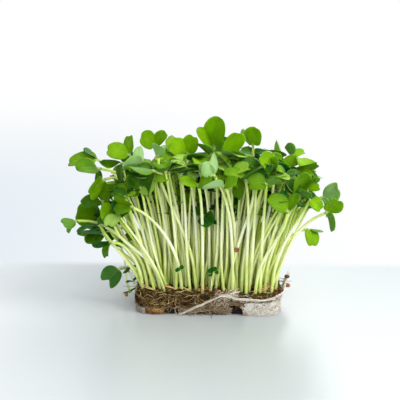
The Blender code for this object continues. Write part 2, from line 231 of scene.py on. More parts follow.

# %% [markdown]
# The studio is plain: a pale, slightly glossy table that ends a little way behind the block, with a
# white ground beyond it, and soft light from all round.  One plane serves as both.  The far part
# glows white like a lit paper sweep, with painted shade that tints it bluish towards the left, and the
# near part has the polish that gives the soft reflection under the block; its colour darkens towards
# the right as painted shade, where the lamps light it most.

# %% Table and light
TABLE_EDGE = 80 * MM
TABLE_SIZE = 60.0
LEFT_END, RIGHT_END = -0.25, 0.15  # between these the table darkens from left to right
SWEEP_END = 1.1  # where the white ground behind is brightest


def table_finish():
    material, tree, shader = finish("pale_table", Roughness=0.3, IOR=1.6)
    x, y, _ = split(tree, place(tree))
    side = ease(tree, x, LEFT_END, RIGHT_END)
    far = ease(tree, y, TABLE_EDGE - 6 * MM, TABLE_EDGE + 10 * MM)
    # Painted shade: the near table's colour darkens towards the right, where the lamps light it most.
    near_colour_with_painted_shade = blend(tree, side, (0.72, 0.75, 0.78), (0.39, 0.43, 0.45))
    feed(tree, shader.inputs["Base Color"], near_colour_with_painted_shade)
    # Painted shade: the far glow is tinted bluish towards the left.
    rise = blend(tree, side, (0.78, 0.85, 0.91), (1.0, 1.0, 1.0))
    lit = add(tree, "Emission")
    feed(tree, lit.inputs["Color"], blend(tree, ease(tree, y, TABLE_EDGE, SWEEP_END), rise, (1.0, 1.0, 1.0)))
    lit.inputs["Strength"].default_value = 1.0
    both = add(tree, "MixShader")
    feed(tree, both.inputs[0], far)
    tree.links.new(shader.outputs[0], both.inputs[1])
    tree.links.new(lit.outputs[0], both.inputs[2])
    tree.links.new(both.outputs[0], tree.nodes["Material Output"].inputs["Surface"])
    return material


table_mesh = bpy.data.meshes.new("table")
half = TABLE_SIZE / 2
corners = [(-half, -half, 0), (half, -half, 0), (half, half, 0), (-half, half, 0)]
table_mesh.from_pydata(corners, [], [(0, 1, 2, 3)])
table_mesh.materials.append(table_finish())
table = bpy.data.objects.new("table", table_mesh)
bpy.context.scene.collection.objects.link(table)
table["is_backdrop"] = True

world = bpy.data.worlds.new("studio")
world.use_nodes = True
world.node_tree.nodes["Background"].inputs["Color"].default_value = (0.95, 0.98, 1.0, 1)
world.node_tree.nodes["Background"].inputs["Strength"].default_value = 0.78
bpy.context.scene.world = world
bpy.context.scene.view_settings.view_transform = "Standard"


def soft_light(name, spot, aim, size, power, colour):
    """A square lamp, size wide in metres, that looks from spot to aim with this power in watts."""
    lamp = bpy.data.lights.new(name, "AREA")
    lamp.size, lamp.energy, lamp.color = size, power, colour
    holder = bpy.data.objects.new(name, lamp)
    holder.location = spot
    holder.rotation_euler = (Vector(spot) - Vector(aim)).to_track_quat("Z", "Y").to_euler()
    bpy.context.scene.collection.objects.link(holder)


soft_light("window", (0.7, -0.4, 0.8), (0, 0, 0.06), 0.5, 8.5, (1.0, 0.98, 0.93))
soft_light("from_behind", (0.3, 0.7, 0.6), (0, 0, 0.06), 0.7, 4.6, (1.0, 1.0, 0.97))
soft_light("beside_camera", (0.25, -0.9, 0.35), (0, 0, 0.05), 0.5, 4, (1.0, 0.99, 0.95))
print("the table's polish ends", round(TABLE_EDGE / MM), "mm behind the block's middle")

# %% [markdown]
# A mesh is only points and faces, so one small collector can gather all the tubes and sheets of a
# piece.  Everything here is a stack of loops, joined ring to ring and capped at both ends: a stem is a
# stack of circles, and a leaf is a stack of flat loops.  At each point it also notes where that point
# lies on the leaf or stem, which the materials read later.


# %% A collector for stacks of loops
class Skin:
    """Gathers stacks of loops, and makes one mesh object of them."""

    def __init__(self):
        self.points, self.spots, self.tones = [], [], []
        self.faces, self.slots = [], []
        self.count = 0

    def stack(self, loops, spots, tone, slot=0):
        """loops and spots are rings x points x 3 arrays; tone is one number for all of them."""
        rings, around = loops.shape[:2]
        numbers = np.arange(rings * around).reshape(rings, around) + self.count
        turned = np.roll(numbers, -1, axis=1)
        quads = np.stack([numbers[:-1], turned[:-1], turned[1:], numbers[1:]], axis=-1)
        self.faces += quads.reshape(-1, 4).tolist()
        self.faces += [numbers[0, ::-1].tolist(), numbers[-1].tolist()]
        self.slots += [slot] * ((rings - 1) * around + 2)
        self.points.append(loops.reshape(-1, 3))
        self.spots.append(spots.reshape(-1, 3))
        self.tones.append(np.full(rings * around, tone))
        self.count += rings * around

    def sheet(self, points, kept, tone, slot=0, thickness=0.16 * MM):
        """points is a grid of points; kept says which of its cells are there."""
        rows, columns = points.shape[:2]
        slant = np.cross(np.gradient(points, axis=1), np.gradient(points, axis=0))
        slant /= np.linalg.norm(slant, axis=-1, keepdims=True)
        for side in (0.5, -0.5):
            numbers = np.arange(rows * columns).reshape(rows, columns) + self.count
            corners = (numbers[:-1, :-1], numbers[:-1, 1:], numbers[1:, 1:], numbers[1:, :-1])
            quads = np.stack(corners, axis=-1)
            here = quads[kept[:-1, :-1]].tolist()
            self.faces += here
            self.slots += [slot] * len(here)
            self.points.append((points + slant * side * thickness).reshape(-1, 3))
            self.spots.append(np.zeros((rows * columns, 3)))
            self.tones.append(np.full(rows * columns, tone))
            self.count += rows * columns

    def tree(self):
        return BVHTree.FromPolygons(np.concatenate(self.points).tolist(), self.faces)

    def make(self, name, *materials):
        mesh = bpy.data.meshes.new(name)
        mesh.from_pydata(np.concatenate(self.points), [], self.faces)
        for number, material in enumerate(materials):
            mesh.materials.append(material)
        mesh.polygons.foreach_set("material_index", self.slots)
        spots = mesh.attributes.new("spot", "FLOAT_VECTOR", "POINT")
        spots.data.foreach_set("vector", np.concatenate(self.spots).astype(np.float32).ravel())
        tones = mesh.attributes.new("tone", "FLOAT", "POINT")
        tones.data.foreach_set("value", np.concatenate(self.tones).astype(np.float32))
        tidy = bmesh.new()
        tidy.from_mesh(mesh)
        bmesh.ops.recalc_face_normals(tidy, faces=tidy.faces)
        tidy.to_mesh(mesh)
        tidy.free()
        mesh.shade_smooth()
        made = bpy.data.objects.new(name, mesh)
        bpy.context.scene.collection.objects.link(made)
        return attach(made, "root")


print("the collector is ready")

# %% [markdown]
# Stems, roots and fibres all start as a path.  A spline through a few places makes it smooth, and a
# circle carried along it, turned as little as possible at each step, makes it a tube without twist.


# %% Smooth paths and tubes
def smooth_path(points, count):
    """count points on a smooth curve through the given ones (a Catmull-Rom spline)."""
    points = np.asarray(points, float)
    ends = np.vstack([2 * points[0] - points[1], points, 2 * points[-1] - points[-2]])
    at = np.linspace(0, len(points) - 1, count)
    leg = np.minimum(at.astype(int), len(points) - 2)
    t = (at - leg)[:, None]
    a, b, c, d = (ends[leg + k] for k in range(4))
    return 0.5 * (2 * b + (c - a) * t + (2 * a - 5 * b + 4 * c - d) * t**2 + (3 * b - a - 3 * c + d) * t**3)


def tube(path, radii, sides):
    """Circles along a path: rings x sides x 3."""
    ahead = np.gradient(path, axis=0)
    ahead /= np.maximum(np.linalg.norm(ahead, axis=1), 1e-9)[:, None]
    side = np.cross(ahead[0], (0.31, 0.83, 0.46))
    turns = np.linspace(0, 2 * np.pi, sides, endpoint=False)[:, None]
    rings = []
    for centre, forward, radius in zip(path, ahead, radii):
        side = side - forward * side.dot(forward)
        side /= np.linalg.norm(side)
        other = np.cross(forward, side)
        rings.append(centre + (side * np.cos(turns) + other * np.sin(turns)) * radius)
    return np.array(rings)


print("a tube of 26 rings and 10 sides has", tube(np.eye(26, 3), np.ones(26), 10).size // 3, "points")

# %% [markdown]
# A radish seedling is a stem that forks into two seed leaves.  Each packed seedling is a coarse skin
# of six rings of six points up the stem, one point in the fork, and five rings of five points along
# each leaf.  Walking its edges from the foot upwards finds those rings again, and from them the stem's
# middle line and each leaf's direction, width and length.  Reading them, rather than typing them in
# again, keeps the visible plant exactly where its solid is.

# %% Read a packed seedling
STEM_SIDES, STEM_RINGS, LEAF_POINTS, LEAF_RINGS = 6, 6, 5, 5
UNDER_BLOCK = Vector((0, 0, -50)) * MM  # all the plants fan out from above here, so their feet are nearest

# out: from the fork to the leaf's end.  across: its width, from edge to edge.  Unit vectors, but length.
Leaf = namedtuple("Leaf", "out across length")
Plant = namedtuple("Plant", "stem radii leaves")


def edges_of(node):
    """The node's points, each place once, and which of them share an edge."""
    number, points, near = {}, [], {}
    mesh = node.data
    for vertex in mesh.vertices:
        key = tuple(round(c * 1e6) for c in vertex.co)
        if key not in number:
            number[key] = len(points)
            points.append(vertex.co.copy())
            near[number[key]] = set()
    which = [number[tuple(round(c * 1e6) for c in v.co)] for v in mesh.vertices]
    for polygon in mesh.polygons:
        ends = [which[v] for v in polygon.vertices]
        for a in ends:
            near[a].update(b for b in ends if b != a)
    return points, near


def rings_from(start, near, inside, count):
    """Successive rings of points, each the next ones along the edges."""
    rings, seen = [set(start)], set(start)
    while len(rings) < count:
        following = {b for a in rings[-1] for b in near[a]} & inside - seen
        rings.append(following)
        seen |= following
    return rings


def middle(points, ring):
    return sum((points[i] for i in ring), Vector()) / len(ring)


def read_leaf(points, rings, fork):
    """The direction, width direction and length of one leaf."""
    ends = sorted(rings[-1], key=lambda i: (points[i] - fork).length)
    widest = list(rings[2])
    a, b = max(
        ((i, j) for i in widest for j in widest if i < j),
        key=lambda pair: (points[pair[0]] - points[pair[1]]).length,
    )
    across = (points[b] - points[a]).normalized()
    others = sorted((i for i in widest if i not in (a, b)), key=lambda i: points[i].dot(across))
    upper = points[others[1]] - (points[others[0]] + points[others[2]]) / 2
    out = (points[ends[0]] - fork).normalized()
    if out.cross(across).dot(upper) < 0:
        across = -across
    return Leaf(out, across, (points[ends[0]] - fork).length)


def read_seedling(node):
    points, near = edges_of(node)
    foot = sorted(range(len(points)), key=lambda i: (points[i] - UNDER_BLOCK).length)[:STEM_SIDES]
    stem = rings_from(foot, near, set(near), STEM_RINGS)
    fork = middle(points, stem[-1])
    rest = set(near) - set().union(*stem)
    saddle = min(rest, key=lambda i: (points[i] - fork).length)
    rest.discard(saddle)
    beside = {i for i in rest if near[i] & (stem[-1] | {saddle})}
    leaves = []
    while beside:
        own, edge = set(), {beside.pop()}
        while edge:
            own |= edge
            edge = {b for a in edge for b in near[a]} & rest - own
        first = {i for i in own if near[i] & (stem[-1] | {saddle})}
        rings = rings_from(first, near, own, LEAF_RINGS)
        assert [len(ring) for ring in rings] == [LEAF_POINTS] * LEAF_RINGS, node.name
        leaves.append(read_leaf(points, rings, fork))
        beside -= own
    centres = [middle(points, ring) for ring in stem]
    radii = [(points[min(ring)] - centre).length for ring, centre in zip(stem, centres)]
    return Plant(centres, radii, leaves)


packed = {name: node for name, node in frame["nodes"].items() if name.startswith("seedling_")}
plants = {name: read_seedling(node) for name, node in packed.items()}
lengths = [leaf.length / MM for plant in plants.values() for leaf in plant.leaves]
print(len(plants), "seedlings read; leaves", round(min(lengths)), "to", round(max(lengths)), "mm long")

# %% [markdown]
# A seed leaf of radish is a heart on a short stalk: narrow where it leaves the fork, widest past its
# middle, with two round lobes and a notch between them.  It could be cut from a flat disc, but a
# stack of loops that fan out from the midrib gives faces that run along the veins, so it bends and
# shades as a leaf does.  The fan is drawn flat first, then cupped, folded, waved, and laid along a
# curve.

# %% Grow one leaf
STALK = 0.20  # of the leaf's length
HALF_WIDTH = 0.50
NOTCH = 0.12
LOBES = 1.12  # how far the lobes reach, as a share of the leaf's length
FINE_COLUMNS = np.array([-1, -0.9, -0.68, -0.42, -0.16, 0, 0.16, 0.42, 0.68, 0.9, 1])
COARSE_COLUMNS = np.array([-1, 0, 1])
BLADE_ROWS, STALK_ROWS = 15, 6


def leaf_curve(fork, axis, leaf, shares):
    """Points and directions along the leaf's middle line, which leaves the fork along the stem."""
    start, end = np.array(fork), np.array(fork + leaf.out * leaf.length)
    bend = np.array(fork + (axis + leaf.out * 0.4) * leaf.length * 0.22)
    s = shares[..., None]
    points = (1 - s) ** 2 * start + 2 * s * (1 - s) * bend + s**2 * end
    ahead = 2 * (1 - s) * (bend - start) + 2 * s * (end - bend)
    return points, ahead / np.linalg.norm(ahead, axis=-1, keepdims=True)


def leaf_outline(rows, length, notch):
    """Half width, its place along the leaf, and the midrib's place, for rows from stalk (0) to notch (1)."""
    turn = np.pi * (rows**0.92 - 0.5)
    base, reach = STALK * length, (LOBES - STALK) * length
    half = HALF_WIDTH * length * np.maximum(np.cos(turn), 0) ** 0.85 * (1 + 0.12 * np.sin(turn))
    dip = notch * np.exp(-((half / ((0.30 + 0.45 * notch) * HALF_WIDTH * length)) ** 2)) * (rows > 0.5)
    along = base + reach * ((1 + np.sin(turn)) / 2 - dip)
    rib = base + reach * (1 - notch) * rows**1.1
    return half, along, rib


def grow_leaf(skin, fork, axis, leaf, tone, nature, fine=True):
    """Adds one leaf to the skin.

    nature holds its cup, fold, wave and curl, where the wave starts, its breadth and its notch.
    """
    cup, fold, wave, curl, phase, breadth, notch = nature
    length = leaf.length
    columns = FINE_COLUMNS if fine else COARSE_COLUMNS
    rows = np.linspace(0.05, 0.985, BLADE_ROWS if fine else 5)
    half, along, rib = leaf_outline(rows, length, notch)
    stalk_half = 0.062 * length
    half = np.maximum(half * breadth, stalk_half * (1 - rows))
    u = columns[None, :]
    x = u * half[:, None]
    y = rib[:, None] + np.abs(u) * (along - rib)[:, None]
    xn = x / (HALF_WIDTH * length)
    yn = (y / length - STALK) / (LOBES - STALK)
    z = HALF_WIDTH * length * (cup * xn**2 * 0.5 + fold * np.abs(xn) * 0.3)
    z += wave * length * 0.05 * np.sin(phase + 9 * rows[:, None] + 2 * np.sign(u)) * np.abs(u) ** 2
    z -= curl * length * 0.22 * yn**2
    thick = (0.24 - 0.10 * np.abs(u)) * MM * np.sqrt(1 - u**6) * np.ones_like(x)
    rib_below = 0.22 * MM * np.exp(-((u / 0.12) ** 2)) * (1 - rows[:, None])
    stalk = np.linspace(-0.03, STALK, STALK_ROWS if fine else 3)
    wide = np.interp(stalk, [0, STALK], [0.95 * MM, stalk_half])[:, None]
    deep = np.interp(stalk, [0, STALK], [0.90 * MM, 0.36 * MM])[:, None]
    round_off = np.sqrt(1 - u**2)
    groove = 0.25 * MM * np.exp(-((u / 0.4) ** 2)) * np.clip(stalk / STALK, 0, 1)[:, None]
    x = np.vstack([u * wide, x])
    y = np.vstack([stalk[:, None] * length + 0 * u, y])
    top = np.vstack([deep * round_off - groove, z + thick])
    bottom = np.vstack([-deep * round_off, z - thick - rib_below])
    t = np.concatenate([np.linspace(-0.5, 0, len(stalk)), rows])[:, None] + 0 * u
    spots = [np.stack([u + 0 * x, t, np.full_like(x, under)], axis=-1) for under in (0.0, 1.0)]
    rim = [0, -1]
    spots[0][:, rim, 2] = 0.5
    flat = [np.stack([x, y, face], axis=-1) for face in (top, bottom)]
    loops = np.concatenate([flat[0], flat[1][:, -2:0:-1]], axis=1)
    spot = np.concatenate([spots[0], spots[1][:, -2:0:-1]], axis=1)
    line, ahead = leaf_curve(fork, axis, leaf, loops[..., 1] / length)
    across = np.array(leaf.across)
    above = np.cross(ahead, across)
    above /= np.linalg.norm(above, axis=-1, keepdims=True)
    skin.stack(line + across * loops[..., :1] + above * loops[..., 2:], spot, tone, slot=1)


print("a leaf has", (BLADE_ROWS + STALK_ROWS) * (2 * len(FINE_COLUMNS) - 2), "points")

# %% [markdown]
# The whole plant is a stem and its two leaves.  The stem is a little thicker where it leaves the felt
# and swells again below the fork.  No two are alike, so every leaf gets its own cup, fold and wave
# from a seeded random source: the same seed grows the same block each time.

# %% Grow one plant
IN_FELT = 1.2 * MM  # how far a stem reaches down into the felt
SLENDER = 0.96  # the solids' stems are a little stouter than real ones


def leaf_nature():
    return (
        chance.uniform(0.15, 0.6),
        chance.uniform(0.0, 0.45),
        chance.uniform(0.2, 0.8),
        chance.uniform(-0.2, 0.5),
        chance.uniform(0, 6.28),
        chance.uniform(0.86, 1.12),
        NOTCH * chance.uniform(0.1, 0.9),
    )


def grow_plant(skin, plant, tones, stem_lit_share=0.5, fine=True, shape=None):
    """Adds one seedling to the skin.

    The stem's tone picks between its shaded (0) and lit (1) colours, painted shade and painted light, and
    shape is its leaves' breadth and notch where they are known.
    """
    stem = [Vector(p) for p in plant.stem]
    foot = stem[0] - Vector((0, 0, IN_FELT))
    rings, sides = (26, 10) if fine else (8, 5)
    path = smooth_path([foot, *stem], rings)
    share = np.linspace(0, 1, rings)
    radii = SLENDER * np.interp(share, np.linspace(0, 1, len(plant.radii)), plant.radii)
    radii *= 1 + 0.12 * np.exp(-((share / 0.05) ** 2)) + 0.10 * np.exp(-(((share - 1) / 0.06) ** 2))
    if fine:
        radii *= 1 + 0.03 * np.sin(share * chance.uniform(15, 40) + chance.uniform(0, 6))
    axis = (stem[-1] - stem[-2]).normalized()
    loops = tube(path, radii, sides)
    turns = np.linspace(-1, 1, sides)[None, :] + 0 * share[:, None]
    spots = np.stack([turns, share[:, None] + 0 * turns, 0 * turns], axis=-1)
    skin.stack(loops, spots, stem_lit_share)
    for leaf, tone in zip(plant.leaves, tones):
        nature = leaf_nature() if fine else (0.4, 0.3, 0, 0.1, 0, 1, NOTCH)
        if shape:
            nature = (*nature[:-2], *shape)
        grow_leaf(skin, stem[-1] - axis * 0.3 * MM, axis, leaf, tone, nature, fine)


print("a stem reaches", round(IN_FELT / MM, 1), "mm into the felt")

# %% [markdown]
# Leaves this thin glow when light comes through them, so their green is part surface, part light from
# behind: subsurface scattering in a closed sheet under half a millimetre thick gives both.  The upper
# side is a saturated yellow-green, the lower side paler and greyer, and the stalk fades into the
# stem's colour.  The tone that each leaf carries runs from dark (0) through bright (0.5) to pale (1),
# and its dark end is also used as painted shade, for leaves that hang in shade.

# %% Leaf finish
# LEAF_DARK and UNDER_DARK are partly painted shade: the colour given to leaves that hang in shade.
LEAF_DARK, LEAF_BRIGHT, LEAF_PALE = (0.008, 0.075, 0.005), (0.205, 0.405, 0.000), (0.38, 0.55, 0.14)
UNDER_DARK, UNDER_GREEN, UNDER_PALE = (0.022, 0.100, 0.018), (0.13, 0.28, 0.035), (0.38, 0.58, 0.25)


def leaf_finish():
    material, tree, shader = finish(
        "seed_leaf",
        Roughness=0.45,
        IOR=1.42,
        Specular_IOR_Level=0.06,
        Subsurface_Weight=0.45,
        Subsurface_Radius=(0.8, 1.3, 0.25),
        Subsurface_Scale=0.9 * MM,
    )
    u, t, under = split(tree, grown(tree, "spot").outputs["Vector"])
    tone = grown(tree, "tone").outputs["Fac"]
    patch = grain(tree, 6 * MM, 3)
    varied = maths(tree, "ADD", tone, maths(tree, "MULTIPLY", maths(tree, "SUBTRACT", patch, 0.5), 0.35))
    upper = steps(tree, varied, (0.0, LEAF_DARK), (0.5, LEAF_BRIGHT), (1.0, LEAF_PALE))
    lower = steps(tree, varied, (0.0, UNDER_DARK), (0.5, UNDER_GREEN), (0.9, UNDER_PALE))
    green = blend(tree, under, upper, lower)
    width = maths(tree, "ABSOLUTE", u)
    # Painted shade: each leaf darkens towards its rim and its tip.
    painted_edge_shade = maths(tree, "MAXIMUM", maths(tree, "POWER", width, 3), maths(tree, "POWER", t, 6))
    green = blend(tree, maths(tree, "MULTIPLY", painted_edge_shade, 0.38), green, LEAF_DARK)
    rib = maths(tree, "SUBTRACT", 1.0, maths(tree, "MULTIPLY", width, 14), clamp=True)
    fan = maths(tree, "ADD", maths(tree, "MULTIPLY", t, 6.5), maths(tree, "MULTIPLY", width, -0.6))
    wave = maths(tree, "ABSOLUTE", maths(tree, "SUBTRACT", maths(tree, "FRACT", fan), 0.5))
    vein = maths(tree, "SUBTRACT", 1.0, maths(tree, "MULTIPLY", wave, 12), clamp=True)
    veins = maths(tree, "MAXIMUM", rib, maths(tree, "MULTIPLY", vein, 0.35))
    faint = maths(tree, "MULTIPLY", veins, 0.18)
    on_blade = maths(tree, "MULTIPLY", faint, maths(tree, "GREATER_THAN", t, 0.0))
    ribbed = blend(tree, on_blade, green, (0.36, 0.58, 0.12))
    to_stalk = maths(tree, "MULTIPLY", maths(tree, "SUBTRACT", 0.16, t), 5.0, clamp=True)
    feed(tree, shader.inputs["Base Color"], blend(tree, to_stalk, ribbed, (0.44, 0.62, 0.17)))
    bumps = maths(tree, "SUBTRACT", grain(tree, 0.9 * MM, 2), maths(tree, "MULTIPLY", on_blade, 1.2))
    relief(tree, shader, bumps, 0.08 * MM)
    return material


leaf_green = leaf_finish()
print("leaf finish:", len(leaf_green.node_tree.nodes), "nodes")

# %% [markdown]
# A stem that grew in a crowd is palest along its middle, where little light reached it, and turns
# yellow-green towards the fork and just above the felt, where its darker band is partly painted shade.
# It is full of water, so light sinks in and comes out again: strong subsurface scattering, and a soft
# shine with a fine grain.  Its colours come as a lit and a shaded copy, and each stem's tone picks
# between them: painted light on the stems in front, painted shade on the stems inside the block.


# %% Stem finish
def stem_finish():
    material, tree, shader = finish(
        "pale_stem",
        Roughness=0.36,
        IOR=1.40,
        Specular_IOR_Level=0.14,
        Subsurface_Weight=0.85,
        Subsurface_Radius=(1.1, 1.2, 0.5),
        Subsurface_Scale=2.2 * MM,
    )
    rise = split(tree, grown(tree, "spot").outputs["Vector"])[1]
    patch = maths(tree, "SUBTRACT", grain(tree, 9 * MM, 2), 0.5)
    varied = maths(tree, "ADD", rise, maths(tree, "MULTIPLY", patch, 0.35))
    # Painted shade in part: the lit colours dip darker from 0.08 to 0.26, just above the foot.
    lit = steps(
        tree,
        varied,
        (0.0, (0.72, 0.72, 0.46)),
        (0.08, (0.38, 0.46, 0.13)),
        (0.26, (0.58, 0.66, 0.28)),
        (0.55, (0.93, 0.97, 0.71)),
        (0.95, (0.60, 0.76, 0.20)),
    )
    shaded = steps(
        tree,
        varied,
        (0.02, (0.42, 0.46, 0.04)),
        (0.15, (0.42, 0.55, 0.02)),
        (0.5, (0.79, 0.92, 0.30)),
        (0.95, (0.34, 0.54, 0.02)),
    )
    # Painted light and shade: each stem's tone picks between the shaded and the lit copy.
    tone = grown(tree, "tone").outputs["Fac"]
    feed(tree, shader.inputs["Base Color"], blend(tree, tone, shaded, lit))
    relief(tree, shader, grain(tree, 0.6 * MM, 2), 0.05 * MM)
    return material


stem_green = stem_finish()
print("stem finish:", len(stem_green.node_tree.nodes), "nodes")

# %% [markdown]
# The imported seedlings are grown again in detail, each as its own piece that stands for its solid.  A
# few leaves are known to be dark, because they hang in shade, and their dark tone is painted shade;
# others are pale, because they turn their lower side to the front.  The rest get a tone by chance, and
# the plants towards the left a darker one, as painted shade.

# %% The fifty seedlings that have solids
# The dark tones here are painted shade, for leaves that hang in shade.
TONES = {
    "left_low_dark": (0.05, 0.0),
    "left_inner_dark": (0.0, 0.2),
    "right_arched_dark": (0.0, 0.05),
    "front_centre_dark": (0.05, 0.2),
    "left_flat": (0.45, 0.1),
    "pale_left": (0.85, 0.80),
    "curled_pale": (0.8, 0.7),
    "pale_centre": (0.82, 0.78),
    "pale_centre_low": (0.9, 0.3),
    "far_right_high": (0.9, 0.7),
    "right_pale_top": (0.8, 0.4),
    "top_centre": (0.36, 0.42),
    "top_centre_right": (0.45, 0.75),
    "heart_right_top": (0.5, 0.45),
    "centre_left_top": (0.42, 0.45),
    "left_top": (0.33, 0.36),
    "left_shoulder": (0.45, 0.36),
    "far_left_high": (0.30, 0.05),
    "side_sprout": (0.22, 0.1),
}
# How much longer than their solids some leaves are, and the breadth and notch of the plainest ones.
LONGER = {"pale_centre": 0.95, "pale_centre_low": 1.12, "side_sprout": 0.97}
SHAPES = {
    "side_sprout": (1.0, 0.28),
    "pale_centre": (1.18, 0.20),
    "pale_left": (1.0, 0.04),
    "top_centre": (0.84, 0.01),
    "heart_right_top": (0.95, 0.02),
    "far_left_low": (0.95, 0.04),
}
TURNED = ("heart_right_top", "far_left_mid")  # leaves that a twisted stalk has turned over
# Painted shade: the leaves of the plants left of this get a darker tone.
LEFT_SHADE = -38 * MM  # the plants left of this are darker
for name, plant in plants.items():
    skin = Skin()
    own_name = name.removeprefix("seedling_")
    longer = LONGER.get(own_name, 1)
    side = -1 if own_name in TURNED else 1
    plant = plant._replace(
        leaves=[Leaf(leaf.out, leaf.across * side, leaf.length * longer) for leaf in plant.leaves]
    )
    tones = TONES.get(own_name)
    if not tones:
        painted_left_shade = 0.14 * (plant.stem[-1].x < LEFT_SHADE)
        tones = (chance.uniform(0.2, 0.62) - painted_left_shade, chance.uniform(0.15, 0.55) - painted_left_shade)
    grow_plant(skin, plant, tones, chance.uniform(0.45, 1.0), shape=SHAPES.get(own_name))
    made = skin.make("grown_" + name, stem_green, leaf_green)
    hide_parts(name)
print(len(plants), "seedlings grown in the place of their solids")

# %% [markdown]
# A block of this size holds some hundreds of seedlings, and only fifty have solids.  The others are
# sown between them.  First come the facts that they keep to: how many, how close, how high the felt
# lies under each root, and how high the leaves stand over it.

# %% Where a seedling may stand
SOWN = 340  # as many as are wanted; about three hundred find room
TRIES = 22000
ROOT_SPACING = 2.0 * MM
FRONT = -9 * MM  # the plants rooted in front of this all reach the canopy
# Where seed coats lie in plain sight on the front of the felt, in mm.
FRONT_HUSKS = (
    (37.8, -15, 15.8),
    (29.8, -20, 15.4),
    (14.3, -21, 15.8),
    (7.3, -25.6, 14.8),
    (-23, -22.5, 14.2),
    (-16.7, -12, 15.6),
    (-4, -19, 14.8),
    (-0.5, -20.5, 15.0),
    (46, -20, 14.6),
)
FELT_LOW, FELT_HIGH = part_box("fibre_felt")
FELT_HALF = (FELT_HIGH - FELT_LOW) / 2


def tree_of(node):
    points = [v.co for v in node.data.vertices]
    return BVHTree.FromPolygons(points, [tuple(p.vertices) for p in node.data.polygons])


felt_tree = tree_of(frame["nodes"]["fibre_felt"])


def felt_top(x, y):
    """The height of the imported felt's upper side, or its edge's where there is none."""
    hit = felt_tree.ray_cast(Vector((x, y, 0.1)), Vector((0, 0, -1)))[0]
    return hit.z if hit else FELT_HIGH.z - 3 * MM


def canopy(x, y):
    """How high the leaves stand over a place, as an even dome that falls off steeply at its sides."""
    x = x / (80 * MM)
    ridge = 100 * MM * (1 - 0.10 * x**2 - 0.20 * x**6)
    return ridge * (1 - 0.16 * (y / (45 * MM)) ** 2) - max(0, y) * 0.1


print("the leaves stand", round(canopy(0, 0) / MM), "mm high over the middle")

# %% [markdown]
# A sown seedling leans out from the middle of the block, as real ones do when they look for light.
# Its stem is one smooth curve from foot to fork, and its two leaves open to either side of it.

# %% Shape a sown seedling
SOWN_SIZES, SOWN_LEAF = (0.7, 1.15), 11.0 * MM  # the range of sizes, and a leaf's length at size 1


def rooted_plant(foot, fork, axis, girth, length):
    """A seedling from its foot to its fork, where it points along axis, with leaves of about this length."""
    reach = (fork - foot).length
    start = Vector((0, 0, 1)) + 0.8 * (fork - foot) / reach
    start += Vector((chance.gauss(0, 0.25), chance.gauss(0, 0.2), 0))
    curve = [foot, foot + start.normalized() * 0.36 * reach, fork - axis * 0.24 * reach, fork]
    stem = []
    for step in range(STEM_RINGS):
        t = step / (STEM_RINGS - 1)
        weights = ((1 - t) ** 3, 3 * t * (1 - t) ** 2, 3 * t * t * (1 - t), t**3)
        stem.append(sum((p * w for p, w in zip(curve, weights)), Vector()))
    radii = [(1.0 - 0.33 * step / (STEM_RINGS - 1)) * girth for step in range(STEM_RINGS)]
    part = Matrix.Rotation(chance.uniform(0, math.pi), 3, axis) @ axis.orthogonal().normalized()
    leaves = []
    for way in (1, -1):
        spread = math.radians(chance.uniform(48, 86))
        out = axis * math.cos(spread) + part * way * math.sin(spread)
        across = Matrix.Rotation(chance.uniform(-0.45, 0.45), 3, out) @ axis.cross(part) * way
        across = (across - out * across.dot(out)).normalized()
        leaves.append(Leaf(out, across, length * chance.uniform(0.85, 1.1)))
    return Plant(stem, radii, leaves)


def leaning(nod, to):
    """The direction that leans nod away from upright, towards the bearing to."""
    return Vector((math.sin(nod) * math.cos(to), math.sin(nod) * math.sin(to), math.cos(nod)))


def sown_plant(x, y):
    """A seedling rooted at (x, y) that fans out from the middle."""
    foot = Vector((x, y, felt_top(x, y)))
    fan_x = 1.42 * x + chance.gauss(0, 8) * MM
    fan_x = min(62 * MM, max(-66 * MM, fan_x))
    fan_y = max(-36 * MM, 1.45 * y + chance.gauss(0, 5) * MM)
    aside = min(1, abs(fan_x) / (70 * MM))
    drop = 0.05 if y < FRONT else 0.48 * (1 - aside**2)
    drop += (0.60 if x < 0 else 0.36) * aside**4
    fork = Vector((fan_x, fan_y, canopy(fan_x, fan_y) * (1 - drop * chance.random() ** 0.5)))
    out_x, out_y = fork.x - x, fork.y - y
    nod = math.radians(chance.uniform(0, 16) + 0.9 * math.hypot(out_x, out_y) / MM)
    axis = leaning(nod, math.atan2(out_y, out_x) + chance.uniform(-0.8, 0.8))
    size = chance.uniform(*SOWN_SIZES)
    return rooted_plant(foot, fork, axis, (0.62 + 0.45 * size) * MM, SOWN_LEAF * size)


print("a sown seedling's leaves are", [round(SOWN_LEAF / MM * size) for size in SOWN_SIZES], "mm long")

# %% [markdown]
# Sowing is trial and error.  Each root keeps its distance from its neighbours and hides no husk, and a
# plant whose coarse shape would cut through one that is already there is tried again elsewhere.


# %% Sow the seedlings
def room_for(plant):
    """A coarse, slightly smaller shape of the plant, which its neighbours keep clear of."""
    slim = Plant(plant.stem, plant.radii, [leaf._replace(length=leaf.length * 0.38) for leaf in plant.leaves])
    coarse = Skin()
    grow_plant(coarse, slim, (0.5, 0.5), fine=False)
    return coarse.tree()


roots = [plant.stem[0].to_2d() for plant in plants.values()]
taken = [room_for(plant) for plant in plants.values()]
sown = []
husks = [sum(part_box(name), Vector()) / 2 for name in sorted(frame["nodes"]) if name.startswith("seed_husk")]
husks += [Vector(spot) * MM for spot in FRONT_HUSKS]


def hides_husk(x, y):
    return any(abs(x - spot.x) < 1.8 * MM and -13 * MM < y - spot.y < 2 * MM for spot in husks)


